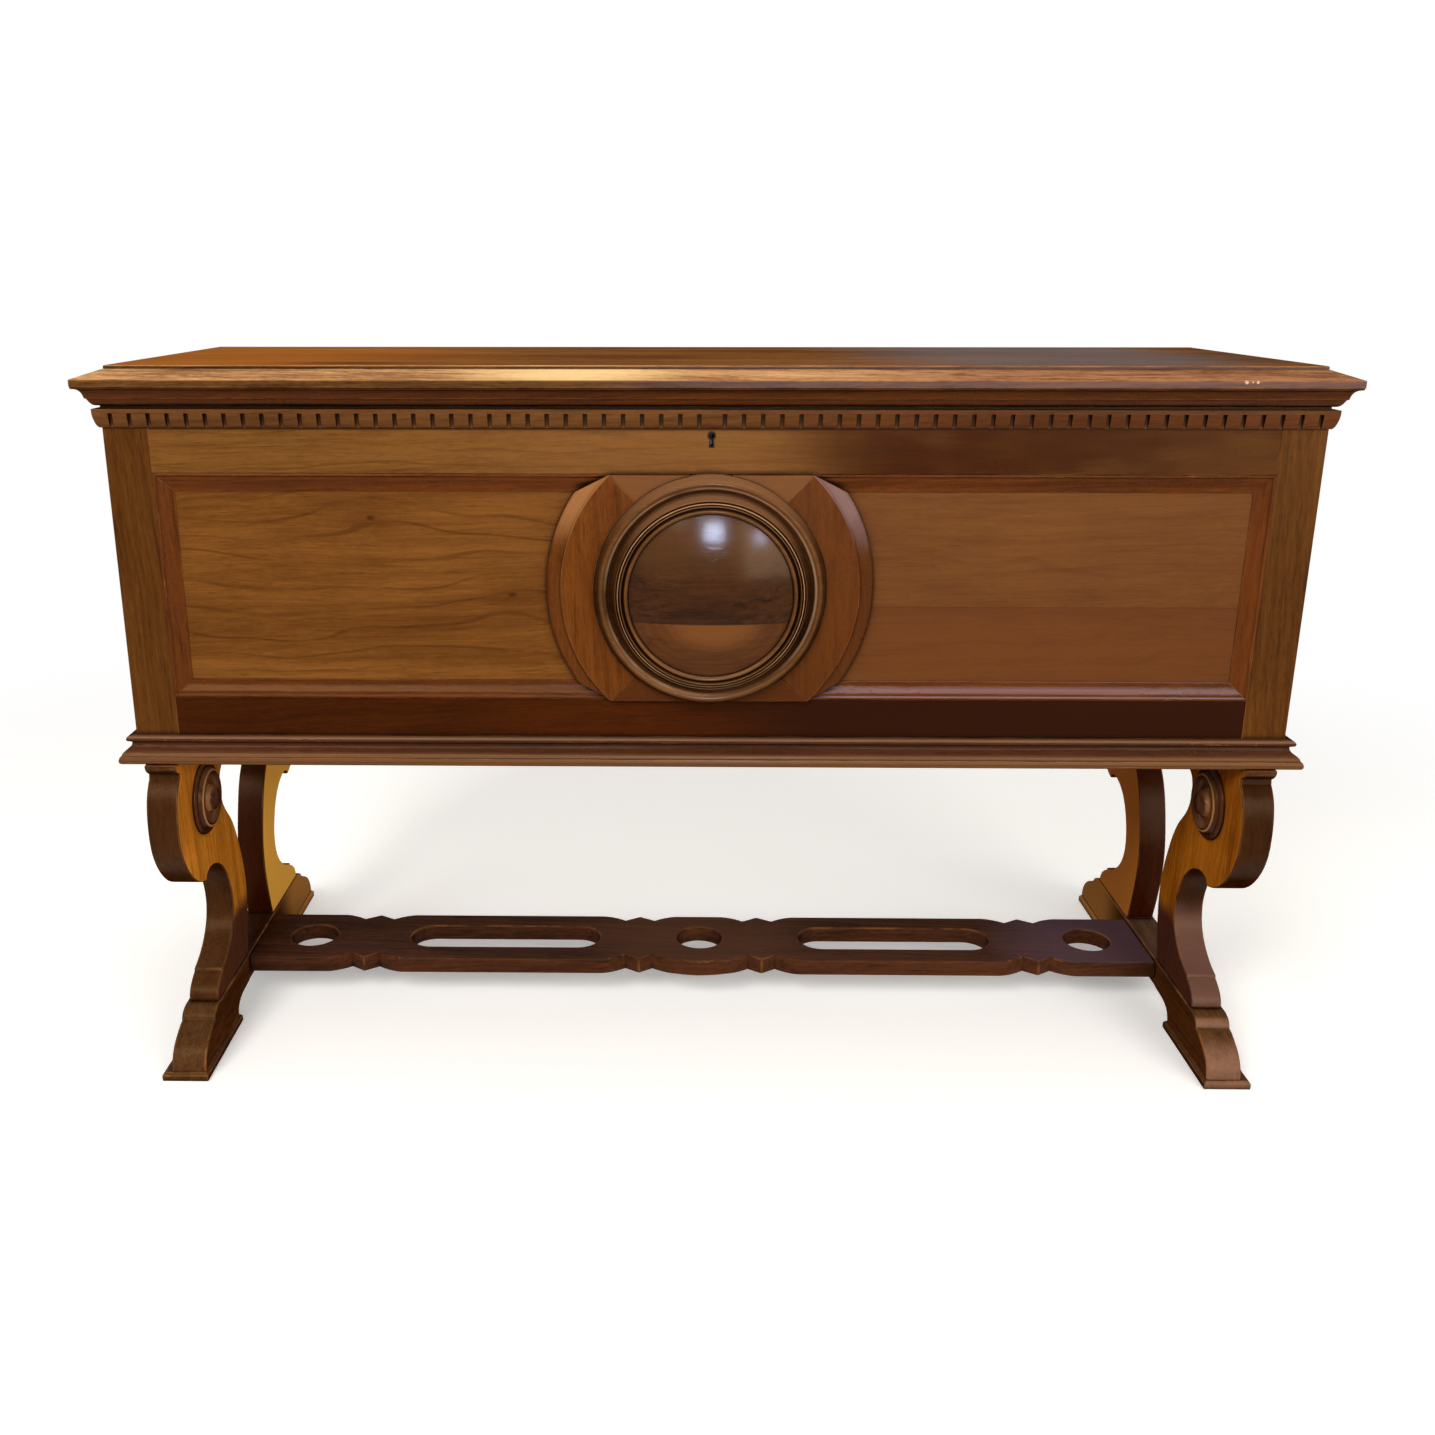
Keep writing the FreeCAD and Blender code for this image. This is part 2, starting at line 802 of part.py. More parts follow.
def leaf_seats(low):
    """The recesses that two leaves lie in."""
    gap = groove_clearance * HALF
    left = box(-hinge_offset - hinge_length * HALF - gap, -hinge_offset + hinge_length * HALF + gap,
               case_back - hinge_leaf_width - gap, case_back + cut_overrun, low, low + hinge_leaf_thickness)
    return group([left, across(left)])


def screw(x, z, direction):
    """A countersunk screw whose head lies at z and whose point is in the given direction."""
    y = case_back - screw_inset
    head = Part.makeCone(screw_head_radius, screw_shank_radius, screw_head_height, V(x, y, z), direction)
    start = V(x, y, z) + direction * screw_head_height
    shank = Part.makeCylinder(screw_shank_radius, screw_length - screw_head_height, start, direction)
    return head.fuse(shank).removeSplitter()


def screws(z, direction):
    places = [side * hinge_offset + end * screw_spacing * HALF for side in (-1, 1) for end in (-1, 1)]
    return group([screw(x, z, direction) for x in places])


def hinge_case_screws():
    return screws(case_top, V(0, 0, -1))


def hinge_lid_screws():
    return screws(lid_bottom, Z_DIRECTION)


def hinge_case_leaves():
    leaves = [hinge_leaf(side * hinge_offset, case_leaf_low, True) for side in (-1, 1)]
    return group([leaf.cut(hinge_case_screws()) for leaf in leaves])


def hinge_lid_leaves():
    leaves = [hinge_leaf(side * hinge_offset, lid_leaf_low, False) for side in (-1, 1)]
    return group([leaf.cut(hinge_lid_screws()) for leaf in leaves])


def hinge_pins():
    return group([
        knuckle(side * hinge_offset - hinge_length * HALF, hinge_length, hinge_pin_radius) for side in (-1, 1)
    ])


# Lock: a box behind the top rail, a sliding bolt, and a staple that hangs from the lid

def bolt_block(grow, start, length):
    return box(start, start + length, staple_y - bolt_depth * HALF - grow, staple_y + bolt_depth * HALF + grow,
               bolt_z - bolt_height * HALF - grow, bolt_z + bolt_height * HALF + grow)


bolt_start = -staple_thickness * HALF - bolt_rest_gap - bolt_length


def lock_bolt():
    return bolt_block(0, bolt_start, bolt_length)


def lock_case():
    y0 = case_front + board_thickness
    half = lock_width * HALF
    shell = box(-half, half, y0, lock_back, lock_top - lock_height, lock_top)
    inside = box(-half + lock_wall, half - lock_wall, y0, lock_back - lock_wall,
                 lock_top - lock_height + lock_wall, lock_top - lock_wall)
    slot_x = staple_thickness * HALF + staple_slot_clearance
    slot_y = staple_width * HALF + staple_slot_clearance
    slot = box(-slot_x, slot_x, staple_y - slot_y, staple_y + slot_y, lock_top - lock_height * HALF,
               lock_top + cut_overrun)
    guide = box(bolt_start, bolt_start + guide_length - bolt_rest_gap, y0, lock_back,
                bolt_z - bolt_height * HALF - guide_wall, bolt_z + bolt_height * HALF + guide_wall)
    channel = bolt_block(bolt_clearance, bolt_start - cut_overrun, guide_length + 2 * cut_overrun)
    return shell.cut(inside).cut(slot).fuse(guide).cut(channel).removeSplitter()


def staple():
    """The bar under the strike plate, with the eye that the bolt enters."""
    x0 = -staple_thickness * HALF
    y0 = staple_y - staple_width * HALF
    bar = box(x0, -x0, y0, y0 + staple_width, lock_top - lock_wall - staple_drop, lid_bottom)
    return bar.cut(bolt_block(staple_eye_clearance, x0 - cut_overrun, staple_thickness + 2 * cut_overrun))


def strike_plate():
    half = strike_width * HALF
    y0 = case_front + board_thickness + strike_inset
    return box(-half, half, y0, y0 + strike_depth, lid_bottom - strike_thickness, lid_bottom)


def lid_strike():
    return strike_plate().fuse(staple()).removeSplitter()


# Trestle legs: planks cut as an S scroll. Shares of the leg's depth, from the volute back, and height.

leg_outline_start_shares = (0.045, 1.0)
leg_outline_shares = [
    ((0.045, 0.985),),
    ((0.062, 0.970), (0.095, 0.958)),
    ((0.090, 0.940),),
    ((0.033, 0.889), (0.0, 0.783), (0.016, 0.683), (0.091, 0.593), (0.206, 0.524), (0.337, 0.490)),
    ((0.346, 0.503),),
    ((0.395, 0.516), (0.502, 0.508), (0.626, 0.460), (0.708, 0.381), (0.741, 0.283), (0.712, 0.214),
     (0.634, 0.155), (0.535, 0.116), (0.444, 0.096)),
    ((0.444, 0.086),),
    ((0.379, 0.063), (0.335, 0.032), (0.329, 0.0)),
    ((0.918, 0.0),),
    ((0.967, 0.111), (1.0, 0.235), (0.996, 0.341), (0.967, 0.421), (0.914, 0.519), (0.835, 0.608),
     (0.737, 0.683), (0.704, 0.751), (0.724, 0.812), (0.782, 0.836)),
    ((0.811, 0.857),),
    ((0.811, 1.0),),
]
rosette_place_shares = (0.432, 0.788)
leg_back_share = 0.811


def leg_front_left():
    place = lambda y, z: V(-leg_inner_offset - leg_thickness, volute_front + y, foot_top + z)
    start = (leg_outline_start_shares[0] * leg_depth, leg_outline_start_shares[1] * leg_height)
    steps = scaled(leg_outline_shares, leg_depth, leg_height)
    return prism(start, steps, place, V(leg_thickness, 0, 0))


# Rosettes: a base disc, a rim, a hollow and a centre button, on both faces of a volute

rosette_profile_shares = [
    ((1.0, 0.12),),
    ((0.97, 0.22), (0.90, 0.27)),
    ((0.86, 0.28),),
    ((0.82, 0.44), (0.77, 0.56), (0.71, 0.57), (0.67, 0.48)),
    ((0.56, 0.32), (0.44, 0.30), (0.36, 0.38)),
    ((0.34, 0.62),),
    ((0.29, 0.80), (0.16, 0.95), (0.0, 1.0)),
]


def rosette(x, outward):
    y = volute_front + rosette_place_shares[0] * leg_depth
    z = foot_top + rosette_place_shares[1] * leg_height
    place = lambda r, rise: V(x + outward * rise, y + r, z)
    steps = scaled(rosette_profile_shares, rosette_radius, rosette_height)
    return turned((rosette_radius, 0), steps + [((0, 0),)], place, V(x, y, z), X_DIRECTION)


def rosettes_front_left():
    return group([rosette(-leg_inner_offset, 1), rosette(-leg_inner_offset - leg_thickness, -1)])


# Feet: beams with an ovolo and a long curve at each toe, arched between the pads

foot_toe_shares = [
    (0.485, 1.0),
    (0.405, 0.975),
    (0.344, 0.891),
    (0.319, 0.766),
    (0.282, 0.750),
    (0.153, 0.594),
    (0.055, 0.391),
    (0.006, 0.125),
    (0.0, 0.0),
]
foot_arch_shares = [(0.939, 0.0), (0.963, 0.188), (1.110, 0.344), (1.325, 0.391)]


def foot_half(y_of):
    """Toe and arch points of one half, from the top of the toe down and in to the arch's crown."""
    toe = [(y_of(a * pad_length), pad_thickness + b * foot_height) for a, b in foot_toe_shares]
    arch = [(y_of(a * pad_length), pad_thickness + b * foot_height) for a, b in foot_arch_shares]
    return toe, arch


def foot_left():
    front_y = case_front - foot_overhang + foot_toe_inset
    back_y = case_back + foot_overhang - foot_toe_inset
    toe, arch = foot_half(lambda a: front_y + a)
    heel, rear_arch = foot_half(lambda a: back_y - a)
    steps = [
        tuple(toe[1:4]),
        (toe[4],),
        tuple(toe[5:]),
        (arch[0],),
        tuple(arch[1:]),
        (rear_arch[-1],),
        tuple(reversed(rear_arch[:-1])),
        (heel[-1],),
        tuple(reversed(heel[4:-1])),
        (heel[3],),
        tuple(reversed(heel[:3])),
    ]
    return prism(toe[0], steps, on_x(-foot_inner_offset - foot_thickness), V(foot_thickness, 0, 0))


def foot_pad():
    """The front left one: a flat board with a bevelled upper edge."""
    x0 = -pad_inner_offset - pad_width
    y0 = case_front - foot_overhang
    pad = box(x0, x0 + pad_width, y0, y0 + pad_length, 0, pad_thickness)
    upper = [edge for edge in pad.Edges if edge.BoundBox.ZMin > pad_thickness * HALF]
    return pad.makeChamfer(pad_bevel, upper)


def foot_pads():
    pad = foot_pad()
    return group([pad, across(pad), behind(pad), across(behind(pad))])


def trestle_bearer_left():
    """The cross piece between the heads of two legs."""
    y0 = volute_front + leg_back_share * leg_depth
    y1 = 2 * case_middle - y0
    return box(-leg_inner_offset - leg_thickness, -leg_inner_offset, y0, y1,
               base_bottom - bearer_height, base_bottom)


# Stretcher: a pierced board with notched knobs along both edges

shoulder_shares = [(0.30, 0.45), (0.62, 0.79), (1.0, 1.0)]


def shoulder(notch_x, away):
    """The edge from a notch out to the board's full width."""
    low = stretcher_width * HALF - stretcher_notch
    return [
        (notch_x + away * run * shoulder_run, low + rise * stretcher_notch) for run, rise in shoulder_shares
    ]


def knob_steps(offset, side, towards):
    """One knob's edge between two shoulders, met in the direction of travel."""
    before = offset - towards * knob_half_width
    after = offset + towards * knob_half_width
    low = stretcher_width * HALF - stretcher_notch
    tip = stretcher_width * HALF - knob_tip_drop
    rise = shoulder(before, -towards)
    fall = shoulder(after, towards)
    lanes = [[rise[2]], [rise[1], rise[0], (before, low)], [(offset, tip)], [(after, low)], fall]
    return [tuple((x, side * y) for x, y in lane) for lane in lanes]


def stretcher_edge(side, towards):
    """The steps along one long edge, from one end to the other. The front one swells at the middle."""
    steps = []
    for offset in (-outer_knob_offset, -inner_knob_offset, inner_knob_offset, outer_knob_offset):
        knob = knob_steps(offset * towards, side, towards)
        if side < 0 and offset == inner_knob_offset:
            knob[0] = ((0, -stretcher_width * HALF - stretcher_bulge), knob[0][0])
        steps += knob
    return steps


def stretcher():
    end = foot_inner_offset
    full = stretcher_width * HALF
    place = lambda x, y: V(x, case_middle + y, stretcher_low)
    steps = stretcher_edge(-1, 1) + [((end, -full),), ((end, full),)] + stretcher_edge(1, -1) + [((-end, full),)]
    board = prism((-end, -full), steps, place, V(0, 0, stretcher_thickness))
    knob = knob_half_width + cut_overrun
    upper = [edge for edge in board.Edges if edge.BoundBox.ZMin > stretcher_low and edge.BoundBox.XLength > knob]
    board = board.makeFillet(stretcher_edge_round, upper)
    radius = stretcher_hole_radius
    bottom = stretcher_low - cut_overrun
    deep = stretcher_thickness + cut_overrun + cut_overrun

    def hole(x):
        return Part.makeCylinder(radius, deep, V(x, case_middle, bottom))

    slot = box(slot_start + radius, slot_end - radius, case_middle - radius, case_middle + radius,
               bottom, bottom + deep)
    slot = slot.fuse([hole(slot_start + radius), hole(slot_end - radius)]).removeSplitter()
    holes = [hole(0), hole(-end_hole_offset), hole(end_hole_offset), slot, across(slot)]
    return board.cut(group(holes))


# All the pieces, by name

def pieces():
    made = {
        "front_rail_top": front_rail_top(),
        "front_rail_bottom": front_rail_bottom(),
        "centre_board": centre_board(),
        "corner_blocks": corner_blocks(),
        "ring_moulding": ring_moulding(),
        "centre_boss": centre_boss(),
        "dentil_band_front": dentil_band_front(),
        "keyhole_escutcheon": keyhole_escutcheon(),
        "back_frame": back_frame(),
        "back_panels": back_panels(),
        "bottom_board": bottom_board(),
        "bottom_cleats": bottom_cleats(),
        "base_moulding_front": base_moulding_front(),
        "base_moulding_back": base_moulding_back(),
        "lock_case": lock_case(),
        "lock_bolt": lock_bolt(),
        "lid_board": lid_board(),
        "lid_cornice_front": lid_cornice_front(),
        "lid_rail_back": lid_rail_back(),
        "lid_battens": lid_battens(),
        "lid_strike": lid_strike(),
        "hinge_case_leaves": hinge_case_leaves(),
        "hinge_lid_leaves": hinge_lid_leaves(),
        "hinge_pins": hinge_pins(),
        "hinge_case_screws": hinge_case_screws(),
        "hinge_lid_screws": hinge_lid_screws(),
        "foot_pads": foot_pads(),
        "stretcher": stretcher(),
    }
    handed = {
        "front_stile": front_stile_left(),
        "front_panel": front_panel_left(),
        "wing": wing_left(),
        "panel_moulding": panel_moulding_left(),
        "dentil_band": dentil_band_left(),
        "side_frame": side_frame_left(),
        "side_panel": side_panel_left(),
        "side_moulding": side_moulding_left(),
        "base_moulding": base_moulding_left(),
        "lid_cornice": lid_cornice_left(),
        "foot": foot_left(),
        "trestle_bearer": trestle_bearer_left(),
        "leg_front": leg_front_left(),
        "rosettes_front": rosettes_front_left(),
    }
    handed["leg_back"] = behind(handed["leg_front"])
    handed["rosettes_back"] = behind(handed["rosettes_front"])
    for name, left in handed.items():
        made[name + "_left"] = left
        made[name + "_right"] = across(left)
    return made


def main():
    os.makedirs("parts", exist_ok=True)
    for name, shape in sorted(pieces().items()):
        shape.exportStep("parts/" + name + ".step")
        box_size = shape.BoundBox
        print(name, len(shape.Solids), shape.isValid(), round(shape.Volume),
              round(box_size.XLength), round(box_size.YLength), round(box_size.ZLength))


main()
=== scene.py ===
import math

import bmesh
import bpy
from bpy.props import FloatProperty, FloatVectorProperty, IntProperty, PointerProperty
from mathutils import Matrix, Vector


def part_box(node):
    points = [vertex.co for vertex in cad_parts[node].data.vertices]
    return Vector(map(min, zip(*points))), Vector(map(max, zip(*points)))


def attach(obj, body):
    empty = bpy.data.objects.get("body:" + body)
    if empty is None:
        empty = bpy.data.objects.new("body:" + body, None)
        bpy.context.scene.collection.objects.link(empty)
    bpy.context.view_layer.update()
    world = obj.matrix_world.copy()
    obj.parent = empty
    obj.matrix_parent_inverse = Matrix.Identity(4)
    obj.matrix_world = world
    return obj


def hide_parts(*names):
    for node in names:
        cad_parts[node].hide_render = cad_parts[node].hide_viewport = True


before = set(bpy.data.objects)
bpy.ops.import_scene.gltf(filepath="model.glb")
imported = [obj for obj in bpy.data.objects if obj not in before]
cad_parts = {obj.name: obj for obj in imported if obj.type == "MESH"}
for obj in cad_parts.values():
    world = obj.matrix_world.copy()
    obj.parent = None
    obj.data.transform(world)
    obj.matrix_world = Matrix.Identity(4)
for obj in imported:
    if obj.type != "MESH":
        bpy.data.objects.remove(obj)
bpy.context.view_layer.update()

bl_info = {
    "name": "Walnut cassone",
    "version": (1, 0, 0),
    "blender": (4, 5, 0),
    "location": "3D View > Sidebar > Cassone",
    "description": "A walnut chest with a hinged lid on scrolled trestle ends, built round its packed frame",
    "category": "Object",
}

SHARP_EDGE = math.radians(28)
FLAT_ANGLE = math.radians(0.6)
MERGE_DISTANCE = 2e-6
INSIDE_STEP = 4e-4
NORMAL_WEIGHT = 80
QUARTER_TURN = math.radians(90)
DOME_STEPS = 24
TURN_STEPS = 144

# The lid's flat top is told from its slopes by the upward part of the normal, which passes between these two.
LEVEL = (0.985, 0.995)
# The clear coat laid over the lid's painted bluish reflection.
HAZE_WEIGHT = 0.16
HAZE_ROUGHNESS = 0.25

# Where the photograph shows marks in the wood, in metres.
EYES = ((-0.419, -0.2405, 0.770), (-0.246, -0.2405, 0.673))
PANEL_SEAM = 0.6589
BOSS_SEAM = 0.6514
ARCH_CENTRE = (0.004, 0.0, 0.655)
ARCH_SQUASH = 1.55
# Where a dark reflection is painted on the lid's level top.
LID_DARK_REFLECTION = (-0.44, -0.200, 0.951)
CHIPS_Y, CHIPS_Z = -0.2745, 0.9365
CHIPS = ((0.6205, 0.0030), (0.6280, 0.0018), (0.6335, 0.0024))

# Painted highlight lines on the crests of the turned work: the ring's as shares of its radius with their strength,
# the rosettes' in metres.
RING_CRESTS = ((0.90, 0.018, 0.60), (0.79, 0.008, 0.65), (0.745, 0.008, 0.65))
ROSETTE_RINGS = ((0.0385, 0.0022), (0.0178, 0.0016))

# The woods: key, what it is on the chest, and its light and its dark tone as they are read off a screen.
TONES = (
    ("lid", "lid", (120, 78, 41), (76, 43, 19)),
    ("rail", "top rail", (121, 80, 35), (92, 56, 22)),
    ("stile", "stiles", (94, 56, 19), (64, 33, 9)),
    ("panel", "panels", (121, 76, 30), (86, 49, 17)),
    ("foot_rail", "bottom rail", (73, 31, 5), (48, 19, 3)),
    ("moulding", "mouldings", (101, 52, 19), (61, 29, 9)),
    ("dentil", "dentil band", (110, 70, 36), (73, 43, 20)),
    ("base", "base moulding", (81, 44, 27), (56, 29, 16)),
    ("wing", "wings", (109, 60, 21), (79, 39, 12)),
    ("turned", "ring", (104, 66, 34), (60, 33, 15)),
    ("rosette", "rosettes", (92, 48, 24), (46, 20, 10)),
    # The legs' tones hold painted golden light; leg_marks gives the faces other than inner faces and rims a darker
    # shaded copy.
    ("leg", "legs", (228, 145, 47), (169, 101, 28)),
    ("foot", "feet", (90, 57, 28), (55, 33, 13)),
    ("stretcher", "stretcher", (80, 45, 27), (47, 26, 15)),
    ("plain", "hidden boards", (150, 108, 62), (108, 70, 36)),
)

# Name, place, target, width, depth, watts, tint, and whether it is seen as a highlight but lights nothing.
WINDOW = (0.20, 0.44, 60.0, (0.34, 0.52, 1.0), True)
LAMPS = (
    ("key", (-1.6, -3.4, 3.2), (0.0, 0.0, 0.6), 2.0, 1.6, 145.0, (1.0, 0.97, 0.93), False),
    ("fill", (2.2, -3.3, 1.5), (0.0, 0.0, 0.5), 2.4, 2.0, 95.0, (1.0, 0.96, 0.91), False),
    ("top", (0.0, 0.4, 3.4), (0.0, 0.0, 0.9), 2.6, 1.6, 38.0, (1.0, 0.96, 0.9), False),
    ("window", (0.03, -2.75, 1.68), (-0.05, -0.3, 0.76), *WINDOW),
    ("window", (0.25, -2.75, 1.68), (0.05, -0.3, 0.76), *WINDOW),
    ("far_window", (1.2, -2.55, 1.5), (0.0, -0.3, 0.76), 0.26, 0.30, 22.0, (0.30, 0.48, 1.0), True),
)

# The camera that took the photograph, fitted to the chest's straight edges.
CAMERA_PLACE = (-0.05621, -1.91512, 1.05447)
CAMERA_TURN = (73.22, 0.0, 0.807)
CAMERA_LENS = 34.404
CAMERA_SENSOR = 36.0
CAMERA_SHIFT = (0.0502, -0.0192)
CAMERA_REACH = 200.0

WHITE = (1.0, 1.0, 1.0, 1.0)


def tone(red, green, blue):
    """A colour as it is read off a screen, made linear."""
    def linear(value):
        share = value / 255
        return share / 12.92 if share <= 0.04045 else ((share + 0.055) / 1.055) ** 2.4
    return linear(red), linear(green), linear(blue)


def colour(name, description, red, green, blue):
    return FloatVectorProperty(
        name=name, description=description, subtype="COLOR", size=3, min=0, max=1, default=tone(red, green, blue))


def length(name, description, value):
    return FloatProperty(name=name, description=description, unit="LENGTH", min=0, default=value)


class CassoneSizes(bpy.types.PropertyGroup):
    board_round: length("Board edges", "How far the edges of boards are rounded", 0.0006)
    moulding_round: length("Moulding edges", "How far the arrises of mouldings are rounded", 0.0004)
    lid_round: length("Lid edges", "How far the lid's edges are rounded", 0.0014)
    stand_round: length("Stand edges", "How far the legs, feet and stretcher are rounded", 0.0024)
    boss_dome: length("Boss dome", "How far the boss's middle stands before its rim", 0.017)
    round_steps: IntProperty(name="Steps", description="Faces across each rounded edge", min=1, max=6, default=3)
    floor_reach: length("Floor", "How far the floor reaches from the chest", 40.0)
    lamp_level: FloatProperty(name="Lamps", description="Strength of all the lamps together", min=0, default=1.0)


class CassoneColours(bpy.types.PropertyGroup):
    # The worn edge colour is partly bare wood from wear and partly a painted highlight on the rounded arrises.
    worn_and_highlit: colour("Worn and highlit edge", "Bare wood and painted highlights on rounded edges", 156, 100, 52)
    brass: colour("Brass", "Old brass of the hinges", 140, 110, 60)
    steel: colour("Steel", "Dull steel of the lock", 118, 112, 104)
    floor: colour("Floor", "The pale floor", 250, 249, 247)


for key, part, *pair in TONES:
    for shade, rgb in zip(("light", "dark"), pair):
        CassoneColours.__annotations__[f"{key}_{shade}"] = colour(
            f"{part.capitalize()}, {shade}", f"{shade.capitalize()} wood of the {part}", *rgb)


# Nodes and finishes

class Nodes:
    """Adds nodes to a tree. They are given numbers, colours or other nodes' outputs."""

    def __init__(self, tree):
        self.tree = tree

    def add(self, kind, **settings):
        item = self.tree.nodes.new("ShaderNode" + kind)
        for key, value in settings.items():
            setattr(item, key, value)
        return item

    def put(self, socket, value):
        if isinstance(value, bpy.types.NodeSocket):
            self.tree.links.new(value, socket)
        else:
            socket.default_value = value

    def feed(self, item, **inputs):
        """Sets or links a node's inputs by name, with spaces written as underscores."""
        for key, value in inputs.items():
            self.put(item.inputs[key.replace("_", " ")], value)
        return item

    def fill(self, item, *values):
        """Sets or links a node's first inputs in their order, and gives its outputs."""
        for socket, value in zip(item.inputs, values):
            self.put(socket, value)
        return item.outputs

    def maths(self, operation, *values, clamp=False):
        return self.fill(self.add("Math", operation=operation, use_clamp=clamp), *values)[0]

    def times(self, first, second):
        return self.maths("MULTIPLY", first, second)

    def plus(self, first, second):
        return self.maths("ADD", first, second)

    def minus(self, first, second):
        return self.maths("SUBTRACT", first, second)

    def size(self, value):
        return self.maths("ABSOLUTE", value)

    def vectors(self, operation, *values, output="Vector"):
        return self.fill(self.add("VectorMath", operation=operation), *values)[output]

    def stretch(self, vector, factors):
        return self.vectors("MULTIPLY", vector, factors)

    def away(self, vector, point):
        return self.vectors("DISTANCE", vector, point, output="Value")

    def axis(self, vector, letter):
        return self.fill(self.add("SeparateXYZ"), vector)[letter]

    def noise(self, vector, scale, detail=2.0, roughness=0.5, output="Fac"):
        item = self.add("TexNoise")
        return self.feed(item, Vector=vector, Scale=scale, Detail=detail, Roughness=roughness).outputs[output]

    def between(self, value, low, high, start=0.0, end=1.0):
        item = self.add("MapRange", interpolation_type="SMOOTHSTEP")
        return self.feed(item, Value=value, From_Min=low, From_Max=high, To_Min=start, To_Max=end).outputs["Result"]

    def band(self, value, start, full, last, end):
        """1 between full and last, and 0 before start and after end."""
        return self.times(self.between(value, start, full), self.between(value, end, last))

    def line(self, value, centre, half_width, amount):
        """That amount where the value is at the centre, and 0 from half a width away."""
        return self.between(self.size(self.minus(value, centre)), half_width, 0.0, 0.0, amount)

    def blend(self, share, first, second, mode="MIX"):
        item = self.add("Mix", data_type="RGBA", blend_type=mode)
        sockets = {socket.identifier: socket for socket in (*item.inputs, *item.outputs)}
        self.put(sockets["Factor_Float"], share)
        for key, value in (("A_Color", first), ("B_Color", second)):
            self.put(sockets[key], value if isinstance(value, bpy.types.NodeSocket) else (*value, 1.0)[:4])
        return sockets["Result_Color"]

    def mixed(self, share, *shaders):
        return self.fill(self.add("MixShader"), share, *shaders)[0]

    def group(self, name, **inputs):
        return self.feed(self.add("Group", node_tree=bpy.data.node_groups[name]), **inputs).outputs

    def seen(self):
        """1 for what the camera sees directly, in a mirror or through glass."""
        path = self.add("LightPath").outputs
        either = self.maths("MAXIMUM", path["Is Camera Ray"], path["Is Glossy Ray"])
        return self.maths("MAXIMUM", either, path["Is Transmission Ray"])


class Paint(Nodes):
    """A material in the making. mix and dim lay one more tone over its colour."""

    def __init__(self, made):
        made.use_nodes = True
        super().__init__(made.node_tree)
        self.shader = self.tree.nodes["Principled BSDF"]
        place = self.add("TexCoord").outputs
        self.where, self.facing = place["Object"], place["Normal"]
        self.colour = None

    def mix(self, share, other):
        self.colour = self.blend(share, self.colour, other)

    def dim(self, share, factors):
        self.colour = self.blend(share, self.colour, factors, "MULTIPLY")

    def at(self, letter):
        """The place along that axis."""
        return self.axis(self.where, letter)

    def looks(self, letter):
        """How far the face looks along that axis."""
        return self.axis(self.facing, letter)

    def right_half(self):
        return self.between(self.at("X"), -0.05, 0.05)

    def inward(self):
        """1 on the faces that look along X towards the chest's middle."""
        return self.between(self.times(self.at("X"), self.looks("X")), -0.15, -0.40)

    def ragged(self, value, scale, reach):
        """A value made uneven by that much, for rims that aren't straight."""
        wobble = self.minus(self.noise(self.where, scale, 3.0), 0.5)
        return self.plus(value, self.times(wobble, reach))

    def near(self, centre, radius, soft, drawn=1.0, uneven=1.0):
        """1 close to a point and 0 away from it, with an uneven rim, drawn out along X by that factor."""
        place = self.stretch(self.where, (1.0 / drawn, 1.0, 1.0))
        gap = self.away(place, (centre[0] / drawn, centre[1], centre[2]))
        return self.between(self.ragged(gap, 300.0, radius * uneven), radius, radius - soft)

    def veins(self, ink, share, spacing, lifts=()):
        """Slender dark lines along a board, in slow waves. They rise over each of the points named in lifts."""
        slow = self.noise(self.stretch(self.where, (3.4, 3.4, 9.0)), 1.0)
        level = self.plus(self.times(self.at("Z"), 1.0 / spacing), self.times(slow, 3.2))
        for centre in lifts:
            level = self.minus(level, self.times(self.near(centre, 0.10, 0.10, 1.4, 0.0), 0.55))
        crest = self.maths("SINE", self.times(level, math.tau))
        broken = self.between(self.noise(self.stretch(self.where, (5.0, 5.0, 26.0)), 1.0), 0.36, 0.60)
        self.mix(self.times(self.between(crest, 0.84, 1.0, 0.0, share), broken), ink)

    def grime_and_shade(self, reach=0.008):
        """Painted shade with wax and dirt: an ambient occlusion mask darkens the corners between pieces."""
        hollow = self.feed(self.add("AmbientOcclusion", samples=6), Distance=reach).outputs["AO"]
        self.mix(self.between(hollow, 0.96, 0.52, 0.0, 0.9), tone(26, 11, 4))

    def bump(self, height, strength, distance):
        return self.feed(self.add("Bump"), Height=height, Strength=strength, Distance=distance).outputs["Normal"]

    def gloss(self, amount, tint=(1.0, 0.66, 0.34)):
        """Sets the wood's gloss. It is warm, as an amber polish is, and fades where the face is seen edge on."""
        view = self.feed(self.add("LayerWeight"), Blend=0.5).outputs["Facing"]
        self.feed(self.shader, Specular_IOR_Level=self.between(view, 0.30, 0.62, amount, 0.0),
                  Specular_Tint=(*tint, 1.0))

    def grain(self, vector, place, turn, light, dark, streaks, arcs, cloud):
        """Walnut figure, laid at that place and turned, with its colour and its height."""
        lay = self.feed(self.add("Mapping"), Vector=vector, Location=place, Rotation=turn)
        return self.group("walnut_grain", Vector=lay.outputs[0], Light=(*light, 1.0), Dark=(*dark, 1.0),
                          Streaks=streaks, Arcs=arcs, Cloud=cloud)


